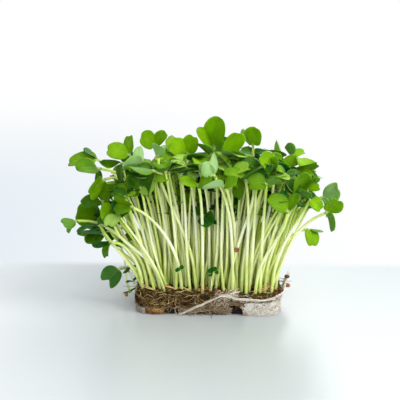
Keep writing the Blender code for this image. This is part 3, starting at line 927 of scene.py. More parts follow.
for attempt in range(TRIES):
    if len(sown) == SOWN:
        break
    x = chance.uniform(-1, 1) * (FELT_HALF.x - 3 * MM)
    y = chance.uniform(-1, 1) * (FELT_HALF.y - 3 * MM)
    spacing = ROOT_SPACING * (1.7 if y < -15 * MM else 1)
    if hides_husk(x, y) or any((Vector((x, y)) - root).length < spacing for root in roots):
        continue
    plant = sown_plant(x, y)
    tree = room_for(plant)
    if any(tree.overlap(other) for other in taken):
        continue
    sown.append(plant)
    roots.append(Vector((x, y)))
    taken.append(tree)
print(len(sown), "more seedlings sown in", attempt, "tries")

# %% [markdown]
# The sown seedlings are joined into a few pieces by where they stand, so that the block stays light
# to handle: a piece for each of eight strips from left to right.

# %% The seedlings in between
STRIPS = 8
strips = [Skin() for _ in range(STRIPS)]
for plant in sown:
    share = (plant.stem[0].x / FELT_HALF.x + 1) / 2
    # Painted shade: leaves low in the canopy, behind the middle and towards the left get a darker tone.
    height = plant.stem[-1].z / cad_high.z
    deep = 0.5 * min(1, max(0, 1 - height))
    deep += 0.10 * (plant.stem[-1].y > 0)
    deep += 0.1 * (plant.stem[-1].x < LEFT_SHADE)
    tones = [min(0.75, max(0.0, chance.gauss(0.47 - deep, 0.23))) for _ in range(2)]
    if chance.random() < 0.12:
        tones[chance.randrange(2)] = chance.uniform(0.7, 0.95)
    # Painted shade on the stems inside the block, painted light on those in front: their tone picks between
    # the shaded and the lit colours.
    stem_lit_share = chance.uniform(0.0, 0.5) if plant.stem[0].y > -14 * MM else chance.uniform(0.35, 1.0)
    grow_plant(strips[min(STRIPS - 1, int(share * STRIPS))], plant, tones, stem_lit_share)
for number, skin in enumerate(strips, start=1):
    made = skin.make(f"sown_seedlings_{number}", stem_green, leaf_green)
print(len(sown), "seedlings in", STRIPS, "pieces")

# %% [markdown]
# A few seedlings came up late.  Some stayed short and dark among the others' feet, and some
# sprouted over the left edge of the felt, where they lean out beside it.

# %% Late seedlings
# Each one's foot and fork, the length of its leaves (all in mm), the tone of its leaves and its girth.
LATE = (
    ((-50.8, -8, 8.5), (-55.6, -8, 38), 6.5, 0.30, 0.7),
    ((-45.6, -10, 10), (-50.2, -10, 42), 7.5, 0.25, 0.8),
    ((-45.4, -12, 9), (-50.5, -12, 23), 5.5, 0.05, 0.5),
    ((-45.2, -14, 9), (-47.2, -15, 17.5), 4.6, 0.05, 0.45),
    ((-45.5, -15, 6), (-49.2, -15, 10.5), 5.2, 0.12, 0.5),
    ((2.5, -24, 13), (2.1, -28, 27.0), 3.4, 0.0, 0.4),
    ((6, -23, 13), (5.2, -28, 28.5), 3.0, 0.0, 0.35),
    ((-15.5, -24, 13), (-16.8, -28.5, 30), 2.5, 0.0, 0.35),
)
late = Skin()
for foot, fork, length, tone, girth in LATE:
    lean = leaning(0.5, math.atan2(fork[1] - foot[1], fork[0] - foot[0]))
    plant = rooted_plant(Vector(foot) * MM, Vector(fork) * MM, lean, girth * MM, length * MM)
    grow_plant(late, plant, (tone, tone * 0.8), 0.8)
made = late.make("late_seedlings", stem_green, leaf_green)
print(len(LATE), "late seedlings")

# %% [markdown]
# Everything at the foot of the block lies along the felt's outline: its side, the fibres on it, the
# roots that wrap it.  So it helps to have one ruler: a distance along that outline, measured from the
# middle of the front towards the right, and a distance out from it.

# %% A ruler round the felt
CORNER = 11 * MM
FELT_BOTTOM = FELT_LOW.z
# The open arch beside the right foot: its middle and half width along the outline, its top and depth, in mm.
ARCH_MIDDLE, ARCH_HALF, ARCH_TOP, ARCH_DEPTH = 17.8, 4.4, 7.4, 3.5
walk = np.random.RandomState(5)


def outline_table():
    """Points every few millimetres round the felt, the way out at each, and the distance to each."""
    x, y = FELT_HALF.x - CORNER, FELT_HALF.y - CORNER
    points, ways = [(0, -FELT_HALF.y)], [(0, -1)]
    for quarter, centre in enumerate(((x, -y), (x, y), (-x, y), (-x, -y))):
        for turn in np.linspace(quarter - 1, quarter, 25) * np.pi / 2:
            way = (math.cos(turn), math.sin(turn))
            points.append((centre[0] + CORNER * way[0], centre[1] + CORNER * way[1]))
            ways.append(way)
    points, ways = np.array([*points, points[0]]), np.array([*ways, ways[0]])
    far = np.concatenate([[0], np.cumsum(np.linalg.norm(np.diff(points, axis=0), axis=1))])
    return points, ways, far


RIM_POINTS, RIM_WAYS, RIM_FAR = outline_table()
RIM = RIM_FAR[-1]


def rim(s, out, z):
    """Points at the distance s along the outline, out from it, at the height z."""
    s, out, z = np.broadcast_arrays(s, out, z)
    at = np.mod(s, RIM)
    x, y = (
        np.interp(at, RIM_FAR, RIM_POINTS[:, k]) + out * np.interp(at, RIM_FAR, RIM_WAYS[:, k])
        for k in (0, 1)
    )
    return np.stack([x, y, z], axis=-1)


def lumps(points, size, shift=0.0):
    """Smooth noise from -1 to 1 at each point."""
    flat = (points / size + shift).reshape(-1, 3).tolist()
    return np.array([noise.noise(point) for point in flat]).reshape(points.shape[:-1])


def curl(start, way, length, bend, count=12):
    """A line that wanders off from start."""
    ways = np.array(way) + np.cumsum(walk.normal(0, bend, (count, 3)), axis=0) / math.sqrt(count)
    ways /= np.linalg.norm(ways, axis=1)[:, None]
    return np.array(start) + np.cumsum(ways, axis=0) * length / count


def drift(s, z, heading, length, bend, count=14):
    """The same on the felt's side, as two arrays: distances along the outline, and heights."""
    turns = heading + bend * np.cumsum(walk.normal(0, 1, count)) / math.sqrt(count)
    return s + np.cumsum(np.cos(turns)) * length / count, z + np.cumsum(np.sin(turns)) * length / count


def arch(s, z):
    """1 in the open arch beside the right foot, where the mat tore away under the felt, and 0 elsewhere."""
    across = 1 - np.clip(np.abs(s / MM - ARCH_MIDDLE) / ARCH_HALF, 0, 1) ** 4
    return across * np.clip(ARCH_TOP - z / MM, 0, 1)


def strand(skin, path, radius, tone, sides=4, slot=0):
    """Adds a thread that thins towards both of its ends."""
    path = np.array(path)
    path[:, 2] = np.maximum(path[:, 2], radius + 0.05 * MM)
    taper = np.sqrt(np.sin(np.linspace(0.15, np.pi - 0.15, len(path))))
    loops = tube(path, radius * taper, sides)
    skin.stack(loops, np.zeros_like(loops), tone, slot)


print("the outline is", round(RIM / MM), "mm long")

# %% [markdown]
# The felt is a soft board of plant fibre.  Its body is a stack of outlines that climbs the side and
# then closes in over the top, pushed about by noise so that no line on it stays straight.

# %% The felt's body
# Up the side: how far in from the outline, in mm, and how far up, as a share of the felt's height.
FELT_SIDE = (
    (3.0, 0.0),
    (0.6, 0.02),
    (0, 0.15),
    (-0.2, 0.3),
    (0, 0.45),
    (0.1, 0.6),
    (0, 0.75),
    (0.1, 0.88),
    (0.7, 0.97),
)
# Over the top: how far in, as a share of the way to the middle.
FELT_OVER = (0.05, 0.09, 0.14, 0.2, 0.27, 0.34, 0.42, 0.5, 0.58, 0.66, 0.74, 0.82, 0.9, 0.97)


def felt_body(skin):
    s = np.linspace(0, RIM, 300, endpoint=False)
    shares = [(depth * MM / FELT_HALF.y, rise) for depth, rise in FELT_SIDE]
    shares += [(share, 1.0) for share in FELT_OVER]
    edge = rim(s, 0, 0)
    spine = edge * 0
    spine[:, 0] = np.clip(edge[:, 0], FELT_HALF.y - FELT_HALF.x, FELT_HALF.x - FELT_HALF.y)
    loops = np.array([edge * (1 - share) + spine * share for share, _ in shares])
    for ring, (_, rise) in zip(loops, shares):
        tops = np.array([felt_top(0.97 * x, 0.97 * y) for x, y in ring[:, :2].tolist()])
        ring[:, 2] = FELT_BOTTOM + rise * (tops - FELT_BOTTOM)
    out = rim(s, 1, 0) - edge
    rough = lumps(loops, 6 * MM) * 0.7 + lumps(loops, 2.2 * MM, 7) * 0.5 + lumps(loops, 0.9 * MM, 3) * 0.25
    push = np.array([1 - share for share, _ in shares])[:, None]
    loops += out[None] * ((rough - 0.25) * push * 1.3 * MM)[..., None]
    loops -= out[None] * (arch(s, loops[..., 2]) * push * ARCH_DEPTH * MM)[..., None]
    swell = lumps(loops, 5 * MM, 11) * 1.4 + lumps(loops, 11 * MM, 4) * 2.0
    loops[..., 2] += swell * np.array([rise for _, rise in shares])[:, None] * MM
    skin.stack(loops, np.zeros_like(loops), 0.0)


print("the felt's body has", len(FELT_SIDE) + len(FELT_OVER), "outlines")

# %% [markdown]
# Felt looks dark and wet low down and mossy gold near its upper edge, with a speckle of pale fibre
# ends.  Its loose threads have a finish of their own, which reads a tone from each thread, so that no
# two neighbours match.


# %% The felt's finishes
def felt_finish():
    material, tree, shader = finish("fibre_felt", Roughness=0.85, Specular_IOR_Level=0.15)
    above_middle = maths(tree, "SUBTRACT", split(tree, place(tree))[2], 10.5 * MM)
    rise = maths(tree, "MULTIPLY", above_middle, 1 / (4 * MM), clamp=True)
    speckle = grain(tree, 1.6 * MM, 5, roughness=0.7)
    deep = steps(
        tree,
        speckle,
        (0.34, (0.003, 0.002, 0.001)),
        (0.52, (0.016, 0.009, 0.004)),
        (0.72, (0.085, 0.050, 0.024)),
    )
    moss = steps(
        tree,
        speckle,
        (0.32, (0.008, 0.005, 0.001)),
        (0.52, (0.050, 0.036, 0.006)),
        (0.75, (0.17, 0.12, 0.030)),
    )
    feed(tree, shader.inputs["Base Color"], blend(tree, rise, deep, moss))
    relief(tree, shader, grain(tree, 0.8 * MM, 4), 0.6 * MM)
    return material


def thread_finish(name, *stops, **sockets):
    """A finish for threads, whose colour runs along the tone each of them carries."""
    material, tree, shader = finish(name, Roughness=0.7, Specular_IOR_Level=0.2, **sockets)
    tone = grown(tree, "tone").outputs["Fac"]
    patch = maths(tree, "MULTIPLY", maths(tree, "SUBTRACT", grain(tree, 1.5 * MM, 3), 0.5), 0.5)
    feed(tree, shader.inputs["Base Color"], steps(tree, maths(tree, "ADD", tone, patch), *stops))
    return material


def paint_shade(material, shade_mask):
    """Paints shade into a finish: darkens it where the given mask says it is inside."""
    tree = material.node_tree
    socket = tree.nodes["Principled BSDF"].inputs["Base Color"]
    # Painted shade: nearly black where the mask is 1.
    feed(tree, socket, blend(tree, shade_mask(tree), socket.links[0].from_socket, (0.012, 0.007, 0.003)))


felt_brown = felt_finish()
felt_thread = thread_finish(
    "felt_fibres",
    (0.0, (0.013, 0.006, 0.003)),
    (0.35, (0.058, 0.026, 0.010)),
    (0.65, (0.20, 0.110, 0.026)),
    (1.0, (0.66, 0.50, 0.22)),
)
print("felt finish:", len(felt_brown.node_tree.nodes), "nodes")

# %% [markdown]
# What makes it felt is the fibres: long ones that wander along the side, some of them standing off it,
# and a mossy fringe of shorter, golden ones that curl over the upper edge and lie on top.  A few
# broken bits of straw lie among them.

# %% The felt's fibres
SIDE_FIBRES, FRINGE_FIBRES, TOP_FIBRES = 900, 980, 420
TUFT, TUFT_FIBRES = np.array((-37, -9, 13)) * MM, 70  # a tuft that the stems pushed up
STRAWS = 26


def mirror(z, low, high):
    """Folds heights that run past low or high back between them."""
    z = low + np.abs(z - low)
    return high - np.abs(high - z)


def stands_out(path):
    """Whether a line leaves the felt's outline by more than a millimetre or so."""
    beside = np.abs(path[:, 0]) > FELT_HALF.x + 1.0 * MM
    before = np.abs(path[:, 1]) > FELT_HALF.y + 1.4 * MM
    return np.any(beside | before)


felt = Skin()
felt_body(felt)
for _ in range(SIDE_FIBRES):
    heading = walk.uniform(-0.6, 0.6) + np.pi * walk.randint(2)
    s, z = drift(walk.uniform(0, RIM), walk.uniform(4.5, 12.5) * MM, heading, walk.uniform(5, 26) * MM, 1.3)
    z = mirror(z, 4.2 * MM, 13.2 * MM)
    lift = walk.uniform(0.1, 0.8) + walk.uniform(0, 0.9) * np.sin(np.linspace(0, walk.uniform(2, 9), len(s)))
    lift -= ARCH_DEPTH * arch(s, z)
    strand(felt, rim(s, lift * MM, z), walk.uniform(0.08, 0.19) * MM, walk.beta(1.5, 1.7), slot=1)
for _ in range(FRINGE_FIBRES):
    at, inward = walk.uniform(0, RIM), walk.uniform(-0.8, 3.5) * MM
    start = rim(at, -inward, 0)
    start[2] = felt_top(start[0] * 0.95, start[1] * 0.95) + walk.uniform(-1.8, 0.8) * MM
    start[2] += (lumps(start, 9 * MM) * 2.2 - 0.3) * MM
    along = rim(at + 1 * MM, 0, 0) - rim(at - 1 * MM, 0, 0)
    way = along / np.linalg.norm(along) * walk.choice((-1, 1)) + walk.normal(0, 0.35, 3)
    path = curl(start, way, walk.uniform(3, 13) * MM, 0.9)
    path[:, 2] = mirror(path[:, 2], start[2] - 2.5 * MM, start[2] + walk.uniform(0.5, 2.4) * MM)
    if stands_out(path):
        continue
    strand(felt, path, walk.uniform(0.10, 0.24) * MM, walk.beta(2.6, 1.6), slot=1)
for _ in range(TOP_FIBRES):
    x, y = walk.uniform(-0.95, 0.95) * FELT_HALF.x, walk.uniform(-0.95, 0.95) * FELT_HALF.y
    z = felt_top(x * 0.95, y * 0.95) + 0.3 * MM
    path = curl((x, y, z), (*walk.normal(0, 1, 2), 0.1), walk.uniform(4, 14) * MM, 0.8)
    path[:, 2] = mirror(path[:, 2], z - 0.4 * MM, z + 1.2 * MM)
    strand(felt, path, walk.uniform(0.12, 0.26) * MM, walk.beta(2.0, 2.0), slot=1)
for _ in range(TUFT_FIBRES):
    start = TUFT + walk.normal(0, 1.6, 3) * MM
    path = curl(start, (*walk.normal(0, 0.5, 2), 1), walk.uniform(3, 9) * MM, 0.8)
    strand(felt, path, walk.uniform(0.15, 0.4) * MM, walk.uniform(0, 0.35), slot=1)
for _ in range(STRAWS):
    at = walk.uniform(-50, 50) * MM
    start = rim(at, -walk.uniform(0, 5) * MM, (13.5 + walk.uniform(0, 1.2)) * MM)
    way = np.array([walk.choice((-1, 1)), walk.normal(0, 0.3), walk.normal(0, 0.45)])
    path = curl(start, way / np.linalg.norm(way), walk.uniform(6, 14) * MM, 0.12, 6)
    path[:, 2] = mirror(path[:, 2], 10 * MM, 19 * MM)
    if stands_out(path):
        continue
    strand(felt, path, walk.uniform(0.24, 0.40) * MM, 0.95, 6, slot=1)
felt_piece = felt.make("felt_with_its_fibres", felt_brown, felt_thread)
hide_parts("fibre_felt")
print("the felt has", len(felt.faces), "faces")

# %% [markdown]
# Under the felt is a layer of roots that kept the shape of the punnet's floor: blocks, or feet, with
# open channels between them.  Each foot is a stack of rounded squares, roughened with noise.  The
# front left one is stained orange-brown, the front right one is clean and white, and the rest are a
# dull pinkish beige.

# %% The feet of the root mat
COLUMNS = ((-32.5, 6.5), (-12, 7.5), (9.5, 6.5), (33, 10.2))
ROWS = ((-18.5, 7.8, 0), (0, 5.5, -5), (18.5, 7.8, 0))
FOOT_TOP = 4.5 * MM
FOOT_SIDE = (1.02, 0.85, 0.66, 0.48, 0.3, 0.16)  # heights down the side, as shares of the foot's own
# Under a foot: how wide, as a share of the lowest loop, and how high, in mm.
FOOT_UNDER = ((0.96, 0.42), (0.88, 0.26), (0.7, 0.22), (0.4, 0.3), (0.1, 0.3))
# Round the layer over the feet: how far out from the felt's outline and how high, in mm.
LAYER = ((-9, 3.9), (-1.2, 3.7), (-0.3, 4.1), (-0.3, 4.7), (-1.5, 4.95), (-9, 4.95))
LAYER_ROOTS = 200

Foot = namedtuple("Foot", "x y half_x half_y tone")


def feet():
    for x, half_x in COLUMNS:
        for y, half_y, shift in ROWS:
            tone = 0.45
            if y < 0:
                tone = {COLUMNS[0][0]: 0.0, COLUMNS[3][0]: 1.0}.get(x, 0.4)
            wide = half_x - (0.9 if y == 0 else 0)
            forward = 1.6 if y < 0 else 0
            aside = shift if abs(x) < 30 else 0
            yield Foot((x + aside) * MM, (y - forward) * MM, wide * MM, half_y * MM, tone)


def foot_surface(foot, turn, z, out):
    """Points on a foot at the bearing turn and the height z."""
    c, s = np.cos(turn), np.sin(turn)
    round_corners = (np.abs(c) ** 4.5 + np.abs(s) ** 4.5) ** (-1 / 4.5)
    slope = 1 + 0.10 * (z / FOOT_TOP - 0.5)
    grow = round_corners * slope
    x = foot.x + c * (foot.half_x * grow + out)
    y = foot.y + s * (foot.half_y * grow + out)
    return np.stack([x, y, z + 0 * turn], axis=-1)


def foot_body(skin, foot):
    turns = np.linspace(0, 2 * np.pi, 72, endpoint=False)
    loops = [foot_surface(foot, turns, z * FOOT_TOP + 0 * turns, 0) for z in FOOT_SIDE]
    centre = np.array([foot.x, foot.y, 0])
    low = loops[-1]
    for share, z in FOOT_UNDER:
        ring = centre + (low - centre) * share
        ring[:, 2] = z * MM
        loops.append(ring)
    loops = np.array(loops)
    rough = lumps(loops, 4 * MM) * 0.5 + lumps(loops, 1.4 * MM, 5) * 0.35
    loops += (loops - centre) * np.array([1, 1, 0]) / foot.half_x * (rough * 0.9 * MM)[..., None]
    loops[..., 2] = np.maximum(loops[..., 2] + rough * 0.25 * MM * (loops[..., 2] > 1 * MM), 0.15 * MM)
    skin.stack(loops, np.zeros_like(loops), foot.tone)


print("the mat stands on", len(list(feet())), "feet")

# %% [markdown]
# One finish serves all the matted roots.  Its tone runs from stained (0) over dull (0.5) to clean (1),
# and deep in the channels under the felt it is painted nearly black as shade, except on the clean foot.


# %% The roots' finishes
def inside(tree):
    """1 deep in the channels under the felt, where the finishes are painted nearly black as shade, and 0
    outside them.
    """
    x, y, z = split(tree, place(tree))
    squares = []
    for across, half in ((x, FELT_HALF.x), (y, FELT_HALF.y)):
        past = maths(tree, "SUBTRACT", maths(tree, "ABSOLUTE", across), half - CORNER)
        squares.append(maths(tree, "POWER", maths(tree, "MAXIMUM", past, 0.0), 2.0))
    from_centre = maths(tree, "SQRT", maths(tree, "ADD", *squares))
    from_edge = maths(tree, "SUBTRACT", CORNER - 0.7 * MM, from_centre)
    deep = maths(tree, "DIVIDE", from_edge, 0.8 * MM, clamp=True)
    return maths(tree, "MULTIPLY", deep, maths(tree, "LESS_THAN", z, 6 * MM))


def root_finish():
    material, tree, shader = finish(
        "root_mat",
        Roughness=0.75,
        Specular_IOR_Level=0.2,
        Subsurface_Weight=0.2,
        Subsurface_Radius=(1.0, 0.7, 0.5),
        Subsurface_Scale=0.8 * MM,
    )
    tone = grown(tree, "tone").outputs["Fac"]
    patch = grain(tree, 3.5 * MM, 5, roughness=0.65)
    fine = grain(tree, 1.0 * MM, 4)
    stained = steps(
        tree,
        patch,
        (0.3, (0.22, 0.085, 0.012)),
        (0.5, (0.46, 0.22, 0.05)),
        (0.7, (0.66, 0.40, 0.17)),
    )
    dull = steps(
        tree,
        patch,
        (0.3, (0.035, 0.022, 0.012)),
        (0.5, (0.15, 0.100, 0.060)),
        (0.72, (0.36, 0.27, 0.20)),
    )
    clean = steps(
        tree,
        patch,
        (0.25, (0.24, 0.20, 0.15)),
        (0.42, (0.54, 0.49, 0.42)),
        (0.7, (0.70, 0.675, 0.65)),
    )
    to_dull = maths(tree, "MULTIPLY", tone, 2.4, clamp=True)
    to_clean = maths(tree, "SUBTRACT", maths(tree, "MULTIPLY", tone, 2.0), 1.0, clamp=True)
    mix = blend(tree, to_clean, blend(tree, to_dull, stained, dull), clean)
    speckles = steps(tree, fine, (0.36, (0.15, 0.11, 0.07)), (0.56, (1, 1, 1)))
    speckled = blend(tree, 0.5, mix, speckles, "MULTIPLY")
    # Painted shade: deep in the channels the colour turns nearly black, except on the clean foot.
    unclean = maths(tree, "LESS_THAN", tone, 0.9)
    deep = maths(tree, "MULTIPLY", inside(tree), unclean)
    feed(tree, shader.inputs["Base Color"], blend(tree, deep, speckled, (0.010, 0.006, 0.003)))
    relief(tree, shader, fine, 0.5 * MM)
    return material


root_beige = root_finish()
root_thread = thread_finish(
    "fine_roots",
    (0.0, (0.10, 0.050, 0.020)),
    (0.35, (0.25, 0.165, 0.085)),
    (0.7, (0.52, 0.43, 0.31)),
    (1.0, (0.86, 0.83, 0.78)),
    Subsurface_Weight=0.25,
    Subsurface_Radius=(1.0, 0.8, 0.6),
    Subsurface_Scale=0.5 * MM,
)
# Painted shade on the fine roots deep in the channels.
paint_shade(root_thread, inside)
print("root finish:", len(root_beige.node_tree.nodes), "nodes")

# %% [markdown]
# Where roots have matted into a skin, a film stands for it: a thin sheet that follows the outline
# between a lower and an upper edge, with holes where noise tears it.

# %% A torn film
FILM_ROWS = 12


def level(height):
    """A film's edge that keeps one height, or a film that keeps one distance out, in mm."""
    return lambda s, *_: height * MM + 0 * s


def film(skin, s0, s1, low, high, out, tone, torn, shift):
    """A thin sheet from s0 to s1 along the outline, with holes where its noise is above torn."""
    s = np.linspace(s0, s1, int((s1 - s0) / MM / 0.6)) * np.ones((FILM_ROWS, 1))
    share = np.linspace(0, 1, FILM_ROWS)[:, None]
    z = low(s) * (1 - share) + high(s) * share
    points = rim(s, out(s, z), z)
    points += (rim(s, 1, z) - rim(s, 0, z)) * (lumps(points, 3 * MM, shift) * 0.6 * MM)[..., None]
    ragged = lumps(points, 2.0 * MM, shift + 9) + 0.5 * lumps(points, 0.8 * MM, shift)
    ragged += 1.3 * np.abs(np.linspace(-1, 1, points.shape[1])) ** 9 * (s1 - s0 < RIM)
    skin.sheet(points, ragged < torn, tone)


print("a film has", FILM_ROWS, "rows of points from one edge to the other")

# %% [markdown]
# The mat is the layer over the feet, the feet, and fine roots wound round both.  A film a little way
# in closes the gaps between the feet, as the roots of the inner seedlings do; it lies deep in the
# channels, so its finish paints it nearly black, as painted shade.

# %% The root mat
mat = Skin()
layer_s = np.linspace(0, RIM, 260, endpoint=False)
layer = []
for out, z in LAYER:
    recess = ARCH_DEPTH * (out > -8) * arch(layer_s, z * MM)
    layer.append(rim(layer_s, (out - recess) * MM, z * MM))
layer = np.array(layer)
layer[..., 2] += lumps(layer, 4 * MM) * 0.25 * MM
mat.stack(layer, np.zeros_like(layer), 0.35)
for foot in feet():
    foot_body(mat, foot)
    seen = foot.y < 0 or abs(foot.x) > 30 * MM
    for _ in range(110 if seen else 30):
        count = 10
        turn = walk.uniform(0, 2 * np.pi) + np.cumsum(walk.normal(0, 0.05, count))
        turn = turn + np.linspace(0, walk.uniform(-1.1, 1.1), count)
        z = mirror(walk.uniform(0.2, 5.0) + np.cumsum(walk.normal(0, 0.35, count)), 0.2, 5.2) * MM
        out = (walk.uniform(0.0, 0.35) + 0.15 * np.sin(np.linspace(0, 6, count))) * MM
        tone = np.clip(foot.tone * 0.8 + walk.uniform(0, 0.45), 0, 1)
        strand(mat, foot_surface(foot, turn, z, out), walk.uniform(0.06, 0.17) * MM, tone, slot=1)
for _ in range(LAYER_ROOTS):
    at, height = walk.uniform(0, RIM), walk.uniform(3.5, 5.5) * MM
    heading = walk.normal(0, 0.6) + np.pi * walk.randint(2)
    s, z = drift(at, height, heading, walk.uniform(4, 16) * MM, 1.0)
    z = mirror(z, 3.2 * MM, 5.8 * MM)
    lift = walk.uniform(-1.5, 0.6) - ARCH_DEPTH * arch(s, z)
    strand(mat, rim(s, lift * MM, z), walk.uniform(0.07, 0.2) * MM, walk.uniform(0.1, 0.8), slot=1)
# Painted shade: this film lies deep in the channels, where its finish turns it nearly black.
film(mat, 0, RIM, level(0.2), level(4.4), level(-2.2), 0.2, 0.9, 8)
mat_piece = mat.make("root_mat_with_its_feet", root_beige, root_thread)
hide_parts("root_mat")
print("the root mat has", len(mat.faces), "faces")

# %% [markdown]
# Over the front right corner the roots have grown into a web.  Its upper edge is a thick strand: it
# starts at the floor left of the middle, climbs to a peak, dips, and then flares out past the right
# side as a loose lip.  Below it hang a thin, torn film and hundreds of fine roots.

# %% The edges of the root web
# Each stop is a distance along the outline and a height, or for the flare a distance out, in mm.
WEB_TOP = (
    (-17, 0.8),
    (-10, 3.9),
    (0, 8.8),
    (8.5, 13.0),
    (13, 13.0),
    (17.5, 10.9),
    (34, 10.3),
    (42, 11.4),
    (52, 12.8),
    (60, 14.6),
    (74, 17.0),
)
WEB_BOTTOM = ((-17, 0.2), (-8, 2.2), (0, 3.2), (12, 3.4), (14.2, 6.9), (21, 7.2), (23, 0.4), (74, 0.4))
WEB_FLARE = ((-19, 0), (44, 0), (60, 3.2), (74, 6.0))


def stops(pairs, s):
    """The height or the distance out at s, between given stops."""
    return np.interp(s / MM, [a for a, _ in pairs], [b for _, b in pairs]) * MM


def web_out(s, z):
    high = np.clip(z / np.maximum(stops(WEB_TOP, s), 1 * MM), 0, 1)
    return 0.9 * MM + stops(WEB_FLARE, s) * high**2


BAG_TOP = ((20.5, 7.0), (26, 8.7), (36, 8.4), (46, 9.6), (60, 10.6), (78, 9.0))


def bag_out(s, z):
    """The white skin round the right foot bulges out as it rises."""
    return (0.15 + 1.5 * np.sqrt(np.clip(z / (9 * MM), 0, 1))) * MM


def following(heights, share=1, above=0):
    """A film's edge that follows listed stops: a share of their height, or a little above it, in mm."""
    return lambda s: stops(heights, s) * share + above * MM


def left_edge(s):
    """The wavy upper edge of the film on the left foot."""
    return 5.6 * MM + 1.2 * MM * np.sin(s / (5 * MM))


# Where each film starts and ends along the outline, in mm, its lower and upper edges, how far out it
# lies, its tone, how little of it is torn away, and a shift of its noise.
FILMS = (
    (-6, 21.5, following(WEB_BOTTOM), following(WEB_TOP, above=-0.6), web_out, 0.42, 0.3, 1),
    (20.5, 78, level(0.3), following(BAG_TOP), bag_out, 1.0, 0.95, 4),
    (5, 18, following(WEB_TOP, above=-3), following(WEB_TOP, above=0.5), web_out, 0.85, 0.0, 12),
    (40, 74, following(WEB_TOP, share=0.6), following(WEB_TOP), web_out, 0.85, 0.0, 6),
    (-60, -38, level(0.4), left_edge, level(0.7), 0.72, 0.6, 2),
)

print("the web's edge is", round(max(height for _, height in WEB_TOP)), "mm high where it flares out")

# %% [markdown]
# With its edges known, the web is laid on: its films, a few thick strands along its upper edge, and
# then fine roots that wander over it in every direction.

# %% The root web
RIM_STRANDS, WEB_ROOTS, PEAK_ROOTS, TANGLES = 12, 560, 60, 90

web = Skin()
for start, end, *rest in FILMS:
    film(web, start * MM, end * MM, *rest)
edge_s = np.linspace(-18, 75, 60) * MM
for _ in range(RIM_STRANDS):
    sway = smooth_path(walk.normal(0, 0.55, (10, 1)), 60)[:, 0] * MM
    z = stops(WEB_TOP, edge_s) + sway
    lift = web_out(edge_s, z) + np.roll(sway, 3) + 0.4 * MM
    first, last = sorted(walk.choice(60, 2, replace=False)) if walk.rand() < 0.5 else (0, 59)
    if last - first < 14:
        first, last = 0, 59
    piece = slice(first, last + 1)
    strand(web, rim(edge_s, lift, z)[piece], walk.uniform(0.10, 0.26) * MM, walk.uniform(0.75, 1), 6, slot=1)
for _ in range(WEB_ROOTS):
    at = walk.uniform(-14, 74)
    top = stops(WEB_TOP, at * MM)
    low = stops(WEB_BOTTOM, at * MM)
    heading = walk.choice((-1, 1)) * walk.uniform(0.1, 1.4) if walk.rand() < 0.6 else walk.normal(0, 0.3)
    s, z = drift(at * MM, walk.uniform(low, top), heading, walk.uniform(4, 18) * MM, 0.7)
    s = mirror(s, -19 * MM, (74 + 7 * walk.rand() ** 2) * MM)
    z = np.clip(z, stops(WEB_BOTTOM, s), stops(WEB_TOP, s) + 0.4 * MM)
    lift = web_out(s, z) + walk.uniform(-0.2, 0.5) * MM
    tone = 0.85 * walk.beta(2.2, 2.2) + 0.5 * (at > 21)
    strand(web, rim(s, lift, z), walk.uniform(0.06, 0.14) * MM, min(1, tone), slot=1)
for _ in range(PEAK_ROOTS):
    at, height = walk.normal(11, 3.5) * MM, walk.normal(12.5, 0.9) * MM
    s, z = drift(at, height, walk.normal(0, 0.4), walk.uniform(4, 10) * MM, 0.8)
    strand(web, rim(s, 0.9 * MM, z), walk.uniform(0.10, 0.26) * MM, walk.uniform(0.6, 1), slot=1)
for _ in range(TANGLES):
    at = walk.uniform(-30, 36)
    start = rim(at * MM, walk.uniform(-3, 0.8) * MM, walk.uniform(2.5, 6) * MM)
    if 9 < at < 27 or -26 < at < -17:
        continue  # the channels beside the feet stay open
    path = curl(start, (walk.normal(0, 0.8), walk.normal(0, 0.3), -1), walk.uniform(4, 13) * MM, 1.1)
    strand(web, path, walk.uniform(0.07, 0.2) * MM, walk.uniform(0.1, 0.75), slot=1)
web_piece = web.make("web_of_roots", root_beige, root_thread)
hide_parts("root_web")
print("the web has", len(web.faces), "faces")

# %% [markdown]
# The coats of the seeds lie where the seedlings shed them.  A radish seed's coat is a reddish-brown,
# wrinkled oval that has split along one side.  Each is a small stack of circles, dented along the
# split and roughened.


# %% Seed husks
def husk(skin, centre, half, turn, tone):
    """Adds one seed coat to the skin; half holds half its length, width and height."""
    rows = np.linspace(0.12, np.pi - 0.12, 11)
    turns = np.linspace(0, 2 * np.pi, 16, endpoint=False)
    ball = np.stack([
        np.cos(rows)[:, None] + 0 * turns,
        np.sin(rows)[:, None] * np.cos(turns),
        np.sin(rows)[:, None] * np.sin(turns),
    ], axis=-1)
    split = 1 - 0.45 * np.exp(-(((turns - 1.5) / 0.3) ** 2)) * np.sin(rows)[:, None] ** 2
    wrinkles = 1 + 0.14 * lumps(ball * 0.9, 1.0, tone * 40) + 0.06 * lumps(ball * 2.6, 1.0, tone * 70)
    ball *= (split * wrinkles)[..., None] * np.array(half)
    lie = Matrix.Rotation(turn, 3, "Z") @ Matrix.Rotation(tone * 2, 3, "X")
    loops = ball @ np.array(lie).T + np.array(centre)
    skin.stack(loops, np.zeros_like(loops), tone)


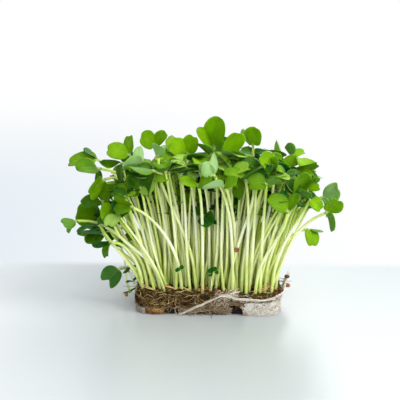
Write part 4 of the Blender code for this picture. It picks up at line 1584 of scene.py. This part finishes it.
def husk_finish():
    material, tree, shader = finish("seed_husk", Roughness=0.5, Specular_IOR_Level=0.35)
    tone = grown(tree, "tone").outputs["Fac"]
    patch = grain(tree, 1.2 * MM, 4)
    seen = maths(tree, "ADD", maths(tree, "MULTIPLY", tone, 0.5), maths(tree, "MULTIPLY", patch, 0.6))
    colour = steps(
        tree,
        seen,
        (0.2, (0.040, 0.012, 0.005)),
        (0.5, (0.21, 0.065, 0.022)),
        (0.85, (0.45, 0.18, 0.075)),
    )
    feed(tree, shader.inputs["Base Color"], colour)
    relief(tree, shader, grain(tree, 0.5 * MM, 3), 0.15 * MM)
    return material


husk_brown = husk_finish()
for name in sorted(frame["nodes"]):
    if name.startswith("seed_husk"):
        low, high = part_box(name)
        skin = Skin()
        husk(skin, (low + high) / 2, (1.8 * MM, 1.35 * MM, 1.15 * MM), chance.uniform(0, 3), chance.random())
        made = skin.make("wrinkled_" + name, husk_brown)
        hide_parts(name)

LOOSE_HUSKS = 46
loose = Skin()
for _ in range(LOOSE_HUSKS):
    x, y = chance.uniform(-0.93, 0.93) * FELT_HALF.x, chance.uniform(-0.93, 0.93) * FELT_HALF.y
    if abs(x) > 34 * MM and abs(y) > 17 * MM:
        continue
    size = chance.uniform(0.6, 1.1)
    half = (1.7 * size * MM, 1.25 * size * MM, 1.0 * size * MM)
    husk(loose, (x, y, felt_top(x, y) + 1.1 * MM), half, chance.uniform(0, 3), chance.random())
every_stem = [point for plant in [*plants.values(), *sown] for point in smooth_path([*plant.stem], 40)]
every_leaf = [
    plant.stem[-1] + leaf.out * leaf.length * 0.6 for plant in plants.values() for leaf in plant.leaves
]
near_stem, near_leaf = np.array((20, -26, 41)) * MM, Vector((66, -22, 84)) * MM
on_stem = min(every_stem, key=lambda point: np.linalg.norm(point - near_stem))
on_leaf = min(every_leaf, key=lambda point: (point - near_leaf).length)
for spot in (
    Vector(on_stem) + Vector((0, -1.5, 0)) * MM,
    on_leaf + Vector((0, -0.8, 1.2)) * MM,
    Vector((-52.6, -8.6, 6.6)) * MM,
    Vector((50.8, -6, 13.0)) * MM,
    Vector((50.6, -3, 18.0)) * MM,
    *(Vector(spot) * MM for spot in FRONT_HUSKS),
):
    husk(loose, spot, (1.9 * MM, 1.5 * MM, 1.25 * MM), chance.uniform(0, 3), chance.random())
made = loose.make("husks_among_the_stems", husk_brown)
print("the loose husks have", len(loose.faces), "faces")

# %% [markdown]
# Last, the size of what is seen is printed, to set beside the solids' size printed at the start, and
# the scene is finished.

# %% Note the sizes and finish
low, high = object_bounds()
print("visual model", [round(1000 * size) for size in high - low], "mm")
